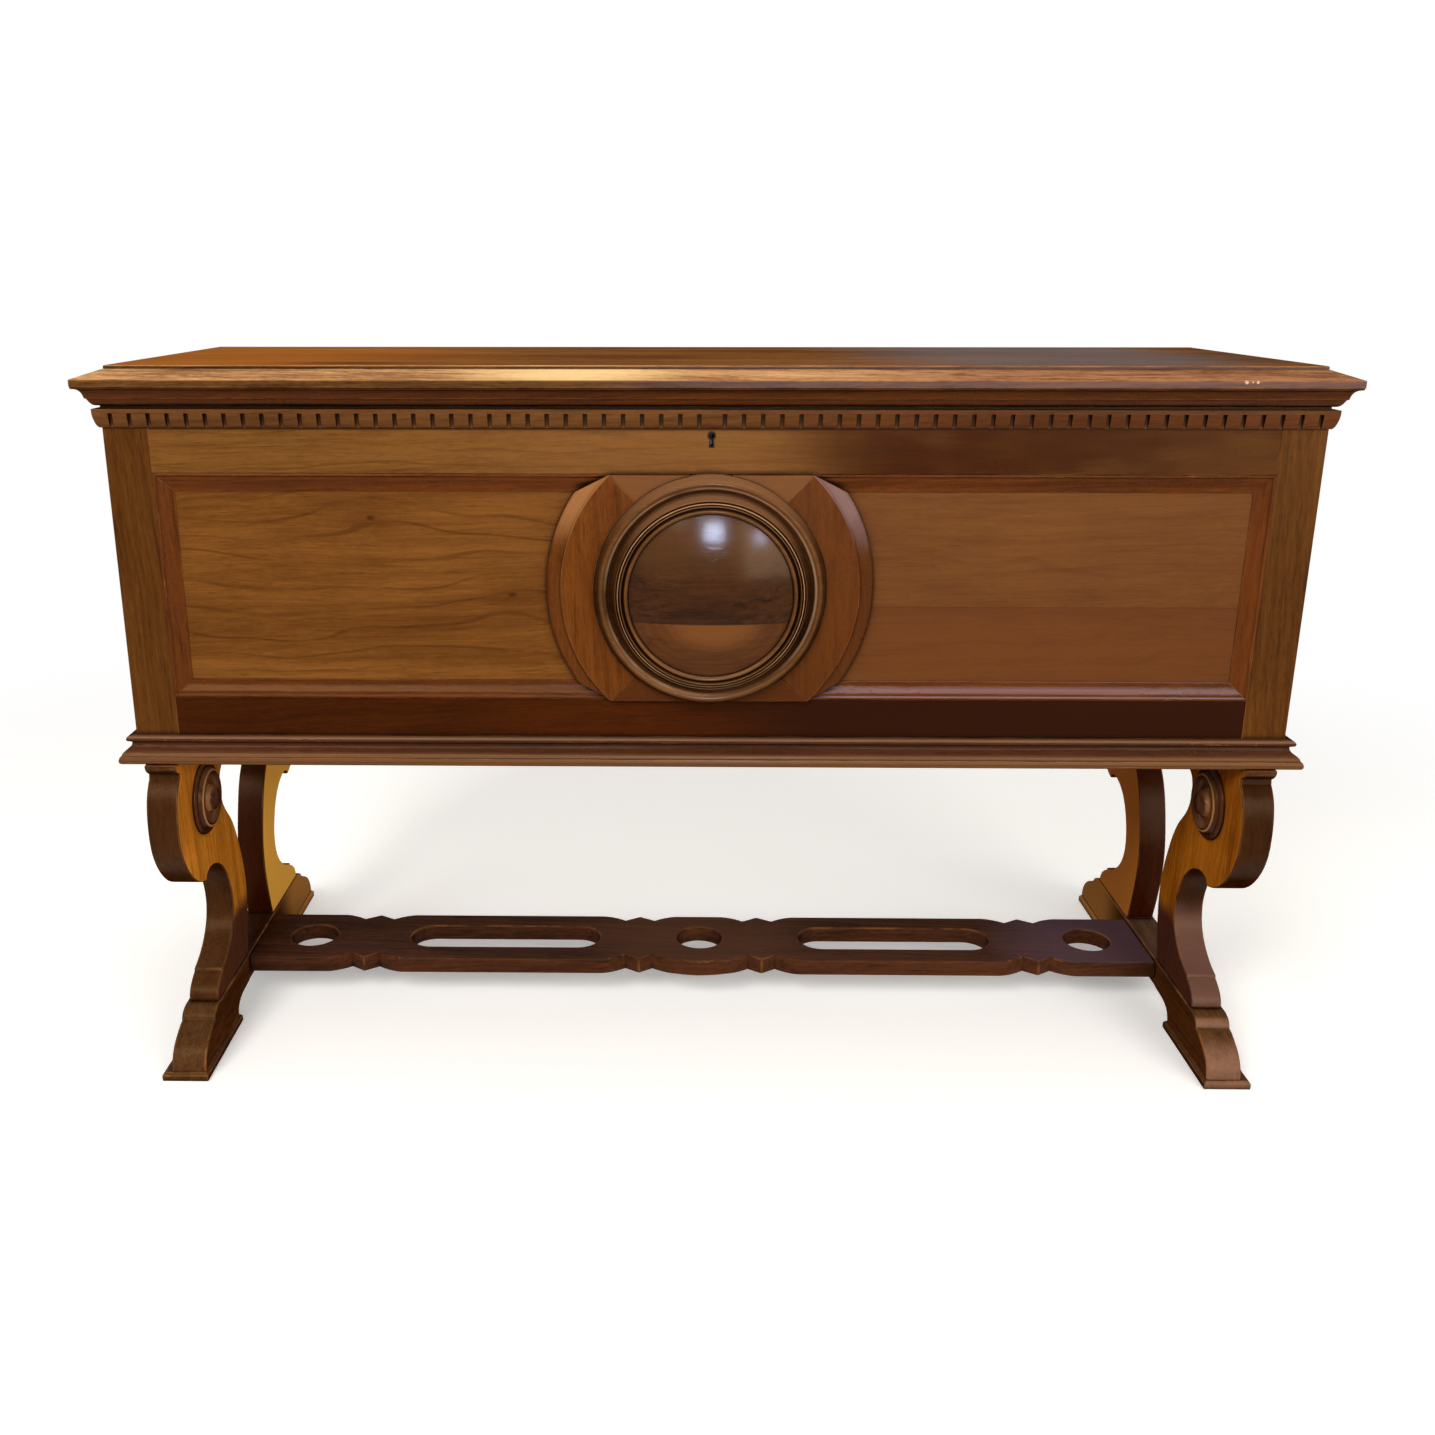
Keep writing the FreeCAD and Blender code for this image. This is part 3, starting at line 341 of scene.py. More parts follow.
def effect(name, inputs, outputs):
    """An empty node group with named inputs and outputs."""
    tree = bpy.data.node_groups.new(name, "ShaderNodeTree")
    for label, kind, value in inputs:
        socket = tree.interface.new_socket(label, in_out="INPUT", socket_type="NodeSocket" + kind)
        if value is not None:
            socket.default_value = value
    for label, kind in outputs:
        tree.interface.new_socket(label, in_out="OUTPUT", socket_type="NodeSocket" + kind)
    return Nodes(tree), tree.nodes.new("NodeGroupInput").outputs, tree.nodes.new("NodeGroupOutput")


def make_grain():
    """Walnut figure along X: clouds, slow bands, long thin lines, faint arcs and short pores."""
    n, given, sink = effect(
        "walnut_grain",
        [("Vector", "Vector", None), ("Light", "Color", (0.2, 0.1, 0.03, 1)), ("Dark", "Color", (0.1, 0.04, 0.01, 1)),
         ("Streaks", "Float", 0.5), ("Arcs", "Float", 0.5), ("Cloud", "Float", 0.5)],
        [("Color", "Color"), ("Height", "Float")],
    )
    bent = given["Vector"]
    for factors, push in (((1.7, 5.0, 5.0), 0.034), ((7.0, 20.0, 20.0), 0.007)):
        sway = n.noise(n.stretch(bent, factors), 1.0, 1.0, output="Color")
        bent = n.vectors("MULTIPLY_ADD", sway, (0.0, push, push), bent)

    def layer(along, across, detail=3.0, roughness=0.6):
        return n.noise(n.stretch(bent, (along, across, across)), 1.0, detail, roughness)

    cloud, bands = layer(2.4, 7.0), layer(1.1, 44.0)
    lines, fine = layer(2.6, 170.0, 3.0, 0.65), layer(11.0, 420.0, 3.0, 0.65)
    mottle, pores = layer(90.0, 260.0, 2.0), layer(32.0, 640.0, 2.0)
    rings = n.add("TexWave", wave_type="RINGS", rings_direction="X", wave_profile="SIN")
    rings = n.feed(rings, Vector=n.stretch(bent, (0.4, 1.0, 1.0)), Scale=15.0, Distortion=3.0, Detail=2.0,
                   Detail_Scale=1.2, Detail_Roughness=0.5).outputs["Fac"]
    share = 0.5
    for value, amount, strength in (
            (cloud, 1.9, "Cloud"), (bands, 1.5, "Streaks"), (lines, 1.7, "Streaks"), (fine, 1.7, "Streaks"),
            (mottle, 0.9, "Streaks"), (rings, 0.45, "Arcs")):
        share = n.plus(n.times(n.times(n.minus(value, 0.5), amount), given[strength]), share)
    figure = n.blend(n.maths("MINIMUM", n.maths("MAXIMUM", share, 0.0), 1.0), given["Dark"], given["Light"])
    deep = n.maths("MULTIPLY", n.between(lines, 0.38, 0.30, 0.0, 0.45), given["Streaks"], clamp=True)
    vein = n.times(n.between(rings, 0.78, 1.0, 0.0, 0.55), given["Arcs"])
    deep = n.maths("MAXIMUM", deep, n.times(vein, n.between(cloud, 0.62, 0.40)))
    figure = n.blend(deep, figure, n.blend(0.5, given["Dark"], (0.0, 0.0, 0.0)))
    pore = n.between(pores, 0.56, 0.72)
    n.put(sink.inputs["Color"], n.blend(n.times(pore, 0.34), figure, n.blend(0.7, given["Dark"], (0.0, 0.0, 0.0))))
    n.put(sink.inputs["Height"], n.minus(n.times(fine, 0.5), n.times(pore, 0.6)))


def make_wear_and_highlight():
    """Bare wood on rounded edges, partly wear and partly a painted highlight along the arrises, broken up along their
    length.
    """
    n, given, sink = effect(
        "worn_and_highlit_edges",
        [("Color", "Color", (0.2, 0.1, 0.03, 1)), ("Vector", "Vector", None), ("Bare", "Color", (0.4, 0.2, 0.07, 1)),
         ("Amount", "Float", 0.5)],
        [("Color", "Color"), ("Mask", "Float")],
    )
    edge = n.add("Attribute", attribute_name="rubbed_and_lit").outputs["Fac"]
    patches = n.between(n.noise(given["Vector"], 18.0, 4.0, 0.7), 0.36, 0.66)
    mask = n.maths("MULTIPLY", n.times(patches, edge), given["Amount"], clamp=True)
    n.put(sink.inputs["Color"], n.blend(mask, given["Color"], given["Bare"]))
    n.put(sink.inputs["Mask"], mask)


def make_polish():
    """How an old polish varies: cloudy patches, fine dust and a few rubs."""
    n, given, sink = effect(
        "old_polish",
        [("Vector", "Vector", None), ("Base", "Float", 0.3), ("Spread", "Float", 0.12)],
        [("Roughness", "Float"), ("Height", "Float")],
    )
    patches = n.minus(n.noise(given["Vector"], 7.0, 5.0, 0.6), 0.5)
    dust = n.minus(n.noise(given["Vector"], 260.0, 2.0, 0.6), 0.5)
    uneven = n.times(n.plus(patches, n.times(dust, 0.5)), given["Spread"])
    n.put(sink.inputs["Roughness"], n.maths("ADD", given["Base"], uneven, clamp=True))
    n.put(sink.inputs["Height"], n.noise(given["Vector"], 22.0))


def rail_marks(p):
    """The top rail is paler round the keyhole, darker and blotched to its right, and has a painted shadow line under
    the dentils.
    """
    p.veins(tone(70, 38, 14), 0.35, 0.021)
    across = p.ragged(p.at("X"), 6.0, 0.22)
    p.mix(p.between(across, -0.45, -0.1, 0.0, 0.3), tone(134, 90, 50))
    blotch = p.between(p.noise(p.stretch(p.where, (6.0, 6.0, 14.0)), 1.0), 0.40, 0.62, 0.78, 1.0)
    p.dim(p.times(p.between(across, 0.02, 0.26), blotch), (0.22, 0.115, 0.05))
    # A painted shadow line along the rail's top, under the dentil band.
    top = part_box("dentil_band_front")[0].z
    p.mix(p.between(p.at("Z"), top - 0.0040, top - 0.0015, 0.0, 0.7), tone(56, 27, 11))


def panel_marks(p):
    """The left panel has slender wavy veins, which rise over two small eyes."""
    p.veins(tone(60, 30, 10), 0.52, 0.028, EYES)
    for centre in EYES:
        p.mix(p.times(p.near(centre, 0.028, 0.028, 2.2), 0.45), tone(76, 40, 14))
        p.mix(p.times(p.near(centre, 0.0045, 0.004, 1.7), 0.8), tone(46, 22, 6))


def glued_panel_marks(p):
    """The right panel is glued up of two boards; the lower one is a shade darker."""
    p.veins(tone(78, 38, 18), 0.35, 0.040)
    p.mix(0.35, tone(110, 63, 38))
    p.dim(1.0, (0.87, 0.91, 0.93))
    up = p.at("Z")
    p.mix(p.times(p.between(up, PANEL_SEAM + 0.0003, PANEL_SEAM - 0.0003), 0.5), tone(84, 42, 20))
    seam = p.band(up, PANEL_SEAM - 0.0006, PANEL_SEAM, PANEL_SEAM + 0.0002, PANEL_SEAM + 0.0008)
    p.mix(p.times(seam, 0.5), tone(52, 26, 10))


def side_panel_marks(p):
    """The side panels have a few faint veins."""
    p.veins(tone(60, 30, 10), 0.4, 0.038)


def lid_marks(p):
    """The lid's level top has painted reflections: an orange glow at the left, a dark patch, and a bluish patch under
    a clear coat. Its slopes carry a painted highlight with a brighter glint, its front edge is darker with a painted
    bluish reflection at the right, and chips lie in its front edge.
    """
    up = p.looks("Z")
    across = p.ragged(p.at("X"), 5.0, 0.16)
    level = p.between(up, *LEVEL)
    # Painted reflection: an orange glow on the left of the level top.
    p.mix(p.times(p.times(p.between(across, -0.16, -0.60), level), 0.45), tone(176, 104, 40))
    # Painted reflection: a dark patch on the level top.
    p.mix(p.times(p.near(LID_DARK_REFLECTION, 0.042, 0.042, 3.0, 0.2), p.times(level, 0.6)), tone(44, 22, 12))
    # Painted reflection: a bluish patch on the level top, which also gets a clear coat.
    painted_reflection = p.times(p.band(across, 0.10, 0.36, 0.54, 0.74), level)
    p.dim(painted_reflection, (0.52, 0.56, 0.95))
    p.feed(p.shader, Coat_Weight=p.times(painted_reflection, HAZE_WEIGHT), Coat_Roughness=HAZE_ROUGHNESS)
    # Painted highlight on the slopes, paler at the right, with a brighter glint.
    slope = p.band(up, 0.5, 0.7, *LEVEL)
    p.dim(slope, p.blend(p.between(across, 0.0, 0.35), (3.1, 4.2, 6.2), (1.76, 2.0, 3.25)))
    p.mix(p.times(p.band(across, -0.36, -0.20, -0.16, -0.02), p.times(slope, 0.4)), tone(255, 226, 160))
    # The front edge is darker, with a painted bluish reflection at its right.
    edge = p.between(up, 0.55, 0.3)
    p.dim(edge, (0.72, 0.80, 0.80))
    p.mix(p.times(p.between(across, -0.20, 0.05, 0.0, 0.4), edge), tone(106, 84, 92))
    for x, radius in CHIPS:
        p.mix(p.times(p.near((x, CHIPS_Y, CHIPS_Z), radius, radius * 0.6), 0.8), tone(216, 192, 160))


def wing_marks(p):
    """The right wing is darker, and both wings' slopes are darker, with a painted glint at their heads."""
    across = p.at("X")
    p.mix(p.between(across, -0.02, 0.06, 0.0, 0.5), tone(66, 32, 14))
    slope = p.between(p.size(p.looks("Y")), 0.985, 0.9)
    p.mix(p.times(slope, 0.15), tone(52, 24, 8))
    # A painted glint at the heads of the slopes, bluer on the right wing.
    head = p.between(p.ragged(p.at("Z"), 26.0, 0.04), 0.725, 0.785, 0.0, 0.72)
    glint = p.blend(p.between(across, -0.02, 0.06), tone(164, 112, 68), tone(132, 104, 104))
    p.mix(p.times(slope, head), glint)


def block_marks(p):
    """The two upper blocks are paler than the lower ones."""
    dark, pale = (p.blend(0.75, p.colour, tone(*rgb)) for rgb in ((66, 32, 12), (106, 63, 20)))
    p.colour = p.blend(p.between(p.at("Z"), 0.68, 0.69), dark, pale)


def ring_marks(p):
    """The turned work has painted shade on its sideways faces, is lighter on its forward faces, and has a painted
    highlight on its upward faces and painted highlight lines along its crests, broken up in places.
    """
    low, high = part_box("ring_moulding")
    centre, radius = (low + high) / 2, (high.x - low.x) / 2
    out = p.size(p.looks("Y"))
    # Painted shade on the faces that turn sideways.
    p.mix(p.between(out, 0.85, 0.35, 0.0, 0.42), tone(34, 16, 7))
    proud = p.ragged(p.between(out, 0.72, 1.0, 0.0, 0.3), 14.0, 0.3)
    p.mix(p.maths("MAXIMUM", proud, 0.0), tone(112, 72, 38))
    # Painted highlight on the faces that look up.
    p.mix(p.between(p.looks("Z"), 0.3, 0.9, 0.0, 0.6), tone(150, 106, 70))
    gap = p.away(p.stretch(p.where, (1.0, 0.0, 1.0)), (centre.x, 0.0, centre.z))
    share = p.maths("DIVIDE", gap, radius)
    rubbed_and_lit = p.between(p.noise(p.where, 9.0, 3.0), 0.30, 0.54)
    # Painted highlight lines along the crests, broken up by noise.
    for crest, half_width, amount in RING_CRESTS:
        p.mix(p.times(p.line(share, crest, half_width, amount), rubbed_and_lit), tone(196, 158, 122))


def rosette_marks(p):
    """Each rosette has a golden dish, a dark button, painted highlight lines at its rim and round its button, and a
    painted highlight on its upward faces.
    """
    gaps = []
    for node in ("rosettes_front_left", "rosettes_back_left"):
        low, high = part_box(node)
        gaps.append(p.away(p.stretch(p.where, (0.0, 1.0, 1.0)), (0.0, (low.y + high.y) / 2, (low.z + high.z) / 2)))
    away = p.ragged(p.maths("MINIMUM", *gaps), 120.0, 0.0015)
    p.mix(p.times(p.band(away, 0.0165, 0.0200, 0.0300, 0.0340), 0.55), tone(126, 76, 36))
    # Painted highlight lines at the rim and round the button.
    for radius, half_width in ROSETTE_RINGS:
        p.mix(p.line(away, radius, half_width, 0.8), tone(196, 142, 90))
    # Painted highlight on the faces that look up.
    p.mix(p.between(p.looks("Z"), 0.3, 0.9, 0.0, 0.4), tone(170, 120, 78))


def dentil_marks(p):
    """The dentil band is redder and darker at the right."""
    p.dim(p.between(p.ragged(p.at("X"), 5.0, 0.2), -0.1, 0.3), (0.70, 0.58, 0.62))


def ledge_marks(p):
    """A pale painted sheen stands for the reflection on the lower strips where they look up. It is bluer at the
    right.
    """
    p.dim(p.between(p.at("Z"), 0.84, 0.86), (0.82, 0.88, 1.1))
    # Painted reflection on the up-facing lower strips, bluer at the right.
    sheen = p.blend(p.between(p.at("X"), -0.1, 0.2), tone(100, 58, 32), tone(158, 132, 142))
    up = p.between(p.looks("Z"), 0.25, 0.7, 0.0, 0.55)
    p.mix(p.times(up, p.between(p.at("Z"), 0.70, 0.66)), sheen)


def base_marks(p):
    """The base's lower half is lighter, with dark lines along it, and its top arris has a painted highlight line."""
    up = p.at("Z")
    low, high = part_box("base_moulding_front")
    half = (low.z + high.z) / 2
    lower = p.between(p.ragged(up, 12.0, 0.002), half - 0.0005, half - 0.003, 0.0, 0.7)
    p.mix(lower, tone(110, 74, 45))
    waves = p.maths("SINE", p.times(up, math.tau / 0.0052))
    p.mix(p.times(p.between(waves, 0.55, 1.0, 0.0, 0.65), lower), tone(48, 24, 12))
    # Painted highlight line on the top arris.
    p.mix(p.between(up, high.z - 0.0030, high.z - 0.0008, 0.0, 0.5), tone(150, 112, 84))


def foot_rail_marks(p):
    """The bottom rail is darker still at the right."""
    p.mix(p.between(p.at("X"), -0.1, 0.15, 0.0, 0.9), tone(37, 13, 6))


def foot_marks(p):
    """The feet's sides are redder, the inner faces of their back halves carry painted golden light, and the right
    foot's front is paler and bluer. Between the legs their tops are darker at the left, and paler and bluer at the
    right."""
    p.dim(p.between(p.size(p.looks("X")), 0.80, 0.92), (1.1, 0.83, 0.78))
    right = p.right_half()
    toe = p.times(p.between(p.looks("Y"), -0.35, -0.7), right)
    p.dim(toe, (2.1, 2.5, 4.6))
    p.mix(p.times(toe, 0.5), tone(122, 86, 70))
    middle = p.between(p.size(p.at("Y")), 0.17, 0.13)
    top = p.times(p.between(p.looks("Z"), 0.6, 0.9), middle)
    p.dim(top, p.blend(right, (0.50, 0.38, 0.45), (1.15, 1.4, 2.6)))
    # Painted golden light on the inner faces of the back halves.
    p.mix(p.times(p.between(p.at("Y"), 0.10, 0.20, 0.0, 0.8), p.inward()), tone(190, 130, 66))


def leg_marks(p):
    """The legs' inner faces carry painted golden light, most of all on the back legs, and their other faces get a
    darker shaded copy. Their rims carry painted shade where they look forward, those of the back legs most of all.
    The right legs are darker, the upper parts a little darker, the front legs have a painted shadow near the feet,
    and the right front leg's rim has a painted bluish reflection."""
    up, inner, right = p.at("Z"), p.inward(), p.right_half()
    rim = p.between(p.size(p.looks("X")), 0.92, 0.80)
    back = p.between(p.at("Y"), -0.02, 0.06)
    # The darker shaded copy, for faces that are neither inner faces nor rims.
    outer = p.blend(1.0, p.colour, (0.56, 0.53, 0.66), "MULTIPLY")
    # Painted golden light, brighter still, on the back legs' inner faces.
    p.mix(p.times(p.times(back, inner), 0.9), tone(255, 190, 82))
    p.dim(right, p.blend(back, (0.66, 0.57, 0.43), (0.62, 0.42, 0.50)))
    p.colour = p.blend(p.maths("MAXIMUM", inner, rim), outer, p.colour)
    p.dim(p.between(up, 0.31, 0.36), (0.80, 0.76, 0.80))
    # Painted shadow near the feet on the front legs' inner faces.
    low = p.between(p.ragged(up, 9.0, 0.02), 0.182, 0.150, 0.0, 0.92)
    p.mix(p.times(low, p.maths("SUBTRACT", inner, back, clamp=True)), tone(62, 33, 30))
    # Painted shade on the rims where they look forward, darkest on the back legs.
    rim_shade = p.blend(back, (0.088, 0.083, 0.197), p.blend(right, (0.042, 0.018, 0.012), (0.080, 0.050, 0.055)))
    p.dim(rim, p.blend(p.between(p.looks("Y"), 0.0, 0.3), rim_shade, (0.20, 0.16, 0.26)))
    # Painted reflection: a bluish haze low on the right front leg's rim.
    painted_reflection = p.times(p.between(p.ragged(up, 16.0, 0.05), 0.20, 0.14, 0.0, 0.45), rim)
    p.mix(p.times(painted_reflection, p.times(right, p.minus(1.0, back))), tone(128, 92, 80))


def stretcher_marks(p):
    """The stretcher's top has a painted cool reflection at its right end, and a paler painted sheen in the middle."""
    across = p.ragged(p.at("X"), 7.0, 0.12)
    top = p.between(p.looks("Z"), 0.6, 0.95)
    # Painted cool reflection at the right end of the top.
    p.mix(p.times(p.between(across, 0.44, 0.56, 0.0, 0.62), top), tone(88, 70, 82))
    # Painted sheen in the middle of the top.
    p.mix(p.times(p.between(p.size(across), 0.22, 0.08, 0.0, 0.4), top), tone(92, 60, 40))


GRAIN_TURNS = {
    "along": (0.0, 0.0, 0.0),
    "upright": (0.0, QUARTER_TURN, 0.0),
    "across": (0.0, 0.0, QUARTER_TURN),
}
GRAIN_LIE = (0.0, 0.03, 0.05)

# Each finish has its tones, its grain's direction and place, how strong its figure is, and its marks.
USUAL = dict(turn="along", place=(0.0, 0.0, 0.0), streaks=0.6, arcs=0.0, cloud=0.6, rough=0.33, gloss=0.08, worn_and_highlit=0.5,
             reach=0.008, marks=None)
FINISHES = {
    "lid_wood": dict(tones="lid", streaks=1.1, arcs=0.3, cloud=1.0, place=(0.3, 0.06, -0.93), rough=0.24,
                     marks=lid_marks),
    "top_rail_wood": dict(tones="rail", streaks=0.7, arcs=0.2, cloud=0.7, place=(0.0, 0.2, -0.74), rough=0.30,
                          marks=rail_marks),
    "stile_wood": dict(tones="stile", turn="upright", streaks=0.8, arcs=0.2, place=(0.0, 0.3, 0.0)),
    "panel_wood_left": dict(tones="panel", reach=0.016, streaks=0.55, arcs=0.4, cloud=0.8, place=(0.45, 0.25, -0.63),
                            rough=0.36, marks=panel_marks),
    "panel_wood_right": dict(tones="panel", reach=0.016, streaks=0.5, arcs=0.3, cloud=0.9,
                             place=(-0.36, 0.235, -0.70), rough=0.36, marks=glued_panel_marks),
    "bottom_rail_wood": dict(tones="foot_rail", arcs=0.2, cloud=0.7, place=(0.0, 0.2, -0.5), gloss=0.05,
                             marks=foot_rail_marks),
    "dentil_wood": dict(tones="dentil", reach=0.016, marks=dentil_marks),
    "moulding_wood": dict(tones="moulding", reach=0.012, rough=0.28, marks=ledge_marks),
    "base_wood": dict(tones="base", rough=0.28, worn_and_highlit=0.7, marks=base_marks),
    "wing_wood": dict(tones="wing", turn="upright", streaks=0.8, arcs=0.2, cloud=0.7, place=(0.0, 0.2, 0.2),
                      rough=0.26, marks=wing_marks),
    "block_wood": dict(tones="wing", streaks=0.7, arcs=0.2, place=(0.0, 0.2, 0.1), marks=block_marks),
    "rosette_wood": dict(tones="rosette", turn="upright", streaks=0.5, arcs=0.2, cloud=0.8, rough=0.22, gloss=0.12,
                         marks=rosette_marks),
    "ring_wood": dict(tones="turned", streaks=0.45, arcs=0.3, cloud=1.0, place=(0.0, 0.27, -0.66), rough=0.2,
                      gloss=0.12, marks=ring_marks),
    "side_wood": dict(tones="panel", reach=0.016, turn="across", arcs=0.3, cloud=0.7, place=(0.02, 0.70, -0.66),
                      marks=side_panel_marks),
    "side_rail_wood": dict(tones="stile", turn="across", streaks=0.7, arcs=0.2),
    "leg_wood": dict(tones="leg", worn_and_highlit=0.25, turn="upright", streaks=0.9, arcs=0.3, cloud=0.9,
                     place=(0.2, 0.1, -0.6), marks=leg_marks),
    "foot_wood": dict(tones="foot", worn_and_highlit=0.55, turn="across", streaks=0.8, arcs=0.2, cloud=0.8, rough=0.36,
                      marks=foot_marks),
    "stretcher_wood": dict(tones="stretcher", worn_and_highlit=0.3, gloss=0.05, streaks=0.9, arcs=0.3, cloud=1.0,
                           place=(0.1, -0.03, -0.02), rough=0.34, marks=stretcher_marks),
    "plain_wood": dict(tones="plain", streaks=0.7, arcs=0.4, rough=0.5),
    "plain_wood_across": dict(tones="plain", turn="across", streaks=0.7, arcs=0.3, rough=0.5),
}


def material(name, build):
    """The material of that name, built the first time it is asked for."""
    made = bpy.data.materials.get(name)
    if not made:
        made = bpy.data.materials.new(name)
        build(Paint(made))
    return made


def wood(name):
    """A listed wooden finish, or one with its grain turned as the name ends, which has no marks."""
    stem, _, turn = name.rpartition("_")
    spec = {**USUAL, **(FINISHES.get(name) or {**FINISHES[stem], "turn": turn, "marks": None})}

    def build(p):
        colours = bpy.context.scene.cassone_colours
        turned = p.feed(p.add("Mapping"), Vector=p.where, Rotation=GRAIN_TURNS[spec["turn"]])
        grain = p.grain(turned.outputs[0], spec["place"], GRAIN_LIE, getattr(colours, spec["tones"] + "_light"),
                        getattr(colours, spec["tones"] + "_dark"), spec["streaks"], spec["arcs"], spec["cloud"])
        p.colour = grain["Color"]
        if spec["marks"]:
            spec["marks"](p)
        # Painted shade and grime in the corners between pieces.
        p.grime_and_shade(spec["reach"])
        # Bare wood on the rounded edges, partly wear and partly a painted highlight.
        wear_and_highlight = p.group("worn_and_highlit_edges", Color=p.colour, Vector=p.where, Bare=(*colours.worn_and_highlit, 1.0), Amount=spec["worn_and_highlit"])
        polish = p.group("old_polish", Vector=p.where, Base=spec["rough"], Spread=0.14)
        height = p.plus(grain["Height"], p.times(polish["Height"], 0.8))
        p.feed(p.shader, Base_Color=wear_and_highlight["Color"], Roughness=p.plus(polish["Roughness"], p.times(wear_and_highlight["Mask"], 0.12)),
               Normal=p.bump(height, 0.16, 0.0006))
        p.gloss(spec["gloss"])
    return material(name, build)


def boss_wood():
    """The boss is glued up of two boards: a dark upper one whose top carries painted light, and a lighter lower one
    with arched figure.
    """
    def build(p):
        upper = p.grain(p.where, (0.2, 0.3, -0.76), (0.0, 0.02, 0.03), tone(66, 35, 15), tone(30, 13, 6),
                        0.8, 0.3, 1.2)
        lower = p.grain(p.where, (0.07, 0.31, -0.64), (0.0, 0.0, 0.0), tone(98, 54, 20), tone(64, 33, 12),
                        0.5, 0.3, 0.8)
        up = p.at("Z")
        x, y, z = ARCH_CENTRE
        bow = p.away(p.stretch(p.where, (1.0, 0.0, ARCH_SQUASH)), (x, y, z * ARCH_SQUASH))
        arch = p.maths("SINE", p.times(p.ragged(bow, 30.0, 0.012), 520.0))
        arched = p.blend(p.times(p.plus(arch, 1.0), 0.13), lower["Color"], tone(56, 29, 12))
        arched = p.blend(p.times(p.between(bow, 0.075, 0.03), 0.5), arched, tone(128, 80, 38))
        # Painted light on the top of the upper board.
        head = p.between(p.ragged(up, 20.0, 0.03), 0.69, 0.74, 0.0, 0.45)
        p.colour = p.blend(head, upper["Color"], tone(98, 62, 30))
        p.mix(p.between(up, BOSS_SEAM + 0.0004, BOSS_SEAM - 0.0004), arched)
        seam = p.band(up, BOSS_SEAM - 0.0011, BOSS_SEAM - 0.0003, BOSS_SEAM + 0.0003, BOSS_SEAM + 0.0011)
        p.mix(p.times(seam, 0.5), tone(34, 16, 8))
        # Painted shade and grime in the corners between pieces.
        p.grime_and_shade()
        polish = p.group("old_polish", Vector=p.where, Base=0.16, Spread=0.08)
        p.feed(p.shader, Base_Color=p.colour, Roughness=polish["Roughness"],
               Normal=p.bump(p.plus(upper["Height"], polish["Height"]), 0.10, 0.0005))
        p.gloss(0.12, (1.0, 0.78, 0.56))
    return material("boss_wood", build)


def metal(name, base, rough):
    """Old metal with tarnish in patches and fine scratches."""
    def build(p):
        tarnish = p.between(p.noise(p.where, 90.0, 4.0, 0.6), 0.40, 0.66)
        painted = p.blend(p.times(tarnish, 0.7), base, p.blend(0.72, base, (0.02, 0.014, 0.008)))
        polish = p.group("old_polish", Vector=p.where, Base=rough, Spread=0.3)
        scratches = p.noise(p.stretch(p.where, (60.0, 900.0, 900.0)), 1.0, 3.0, 0.6)
        p.feed(p.shader, Base_Color=painted, Roughness=polish["Roughness"], Metallic=1.0,
               Normal=p.bump(scratches, 0.12, 0.0003))
    return material(name, build)


# Pieces

def mesh_piece(name, shape, finishes, body, nodes):
    """A finished piece from a bmesh: shaded, finished, riding on its body and standing for its nodes."""
    mesh = bpy.data.meshes.new(name)
    shape.to_mesh(mesh)
    shape.free()
    for polygon in mesh.polygons:
        polygon.use_smooth = True
    mesh.set_sharp_from_angle(angle=SHARP_EDGE)
    for finish in finishes:
        mesh.materials.append(finish)
    piece = bpy.data.objects.new(name, mesh)
    bpy.context.scene.collection.objects.link(piece)
    even = piece.modifiers.new("even_shading", "WEIGHTED_NORMAL")
    even.keep_sharp = True
    even.weight = NORMAL_WEIGHT
    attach(piece, body)
    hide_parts(*nodes)
    return piece


def eased(shape, width, steps):
    """Rounds a shape's outer edges and marks the new faces, which get bare wood that is partly wear and partly a
    painted highlight.
    """
    rubbed_and_lit = shape.faces.layers.float.get("rubbed_and_lit") or shape.faces.layers.float.new("rubbed_and_lit")
    sharp = [e for e in shape.edges if e.is_manifold and e.is_convex and e.calc_face_angle() > SHARP_EDGE]
    made = bmesh.ops.bevel(
        shape, geom=sharp, offset=width, offset_type="OFFSET", segments=steps, profile=0.5, affect="EDGES",
        clamp_overlap=False, material=-1, loop_slide=True, miter_outer="SHARP", miter_inner="SHARP")
    for face in made["faces"]:
        face[rubbed_and_lit] = 1.0


def solid_of(node, belongs=None):
    """A node's mesh, or the part of it whose insides pass a test, merged and with its flat faces whole."""
    shape = bmesh.new()
    shape.from_mesh(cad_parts[node].data)
    if belongs:
        shape.normal_update()
        others = [f for f in shape.faces if not belongs(f.calc_center_median() - f.normal * INSIDE_STEP)]
        bmesh.ops.delete(shape, geom=others, context="FACES")
    bmesh.ops.remove_doubles(shape, verts=shape.verts, dist=MERGE_DISTANCE)
    bmesh.ops.dissolve_limit(shape, angle_limit=FLAT_ANGLE, verts=shape.verts, edges=shape.edges)
    return shape


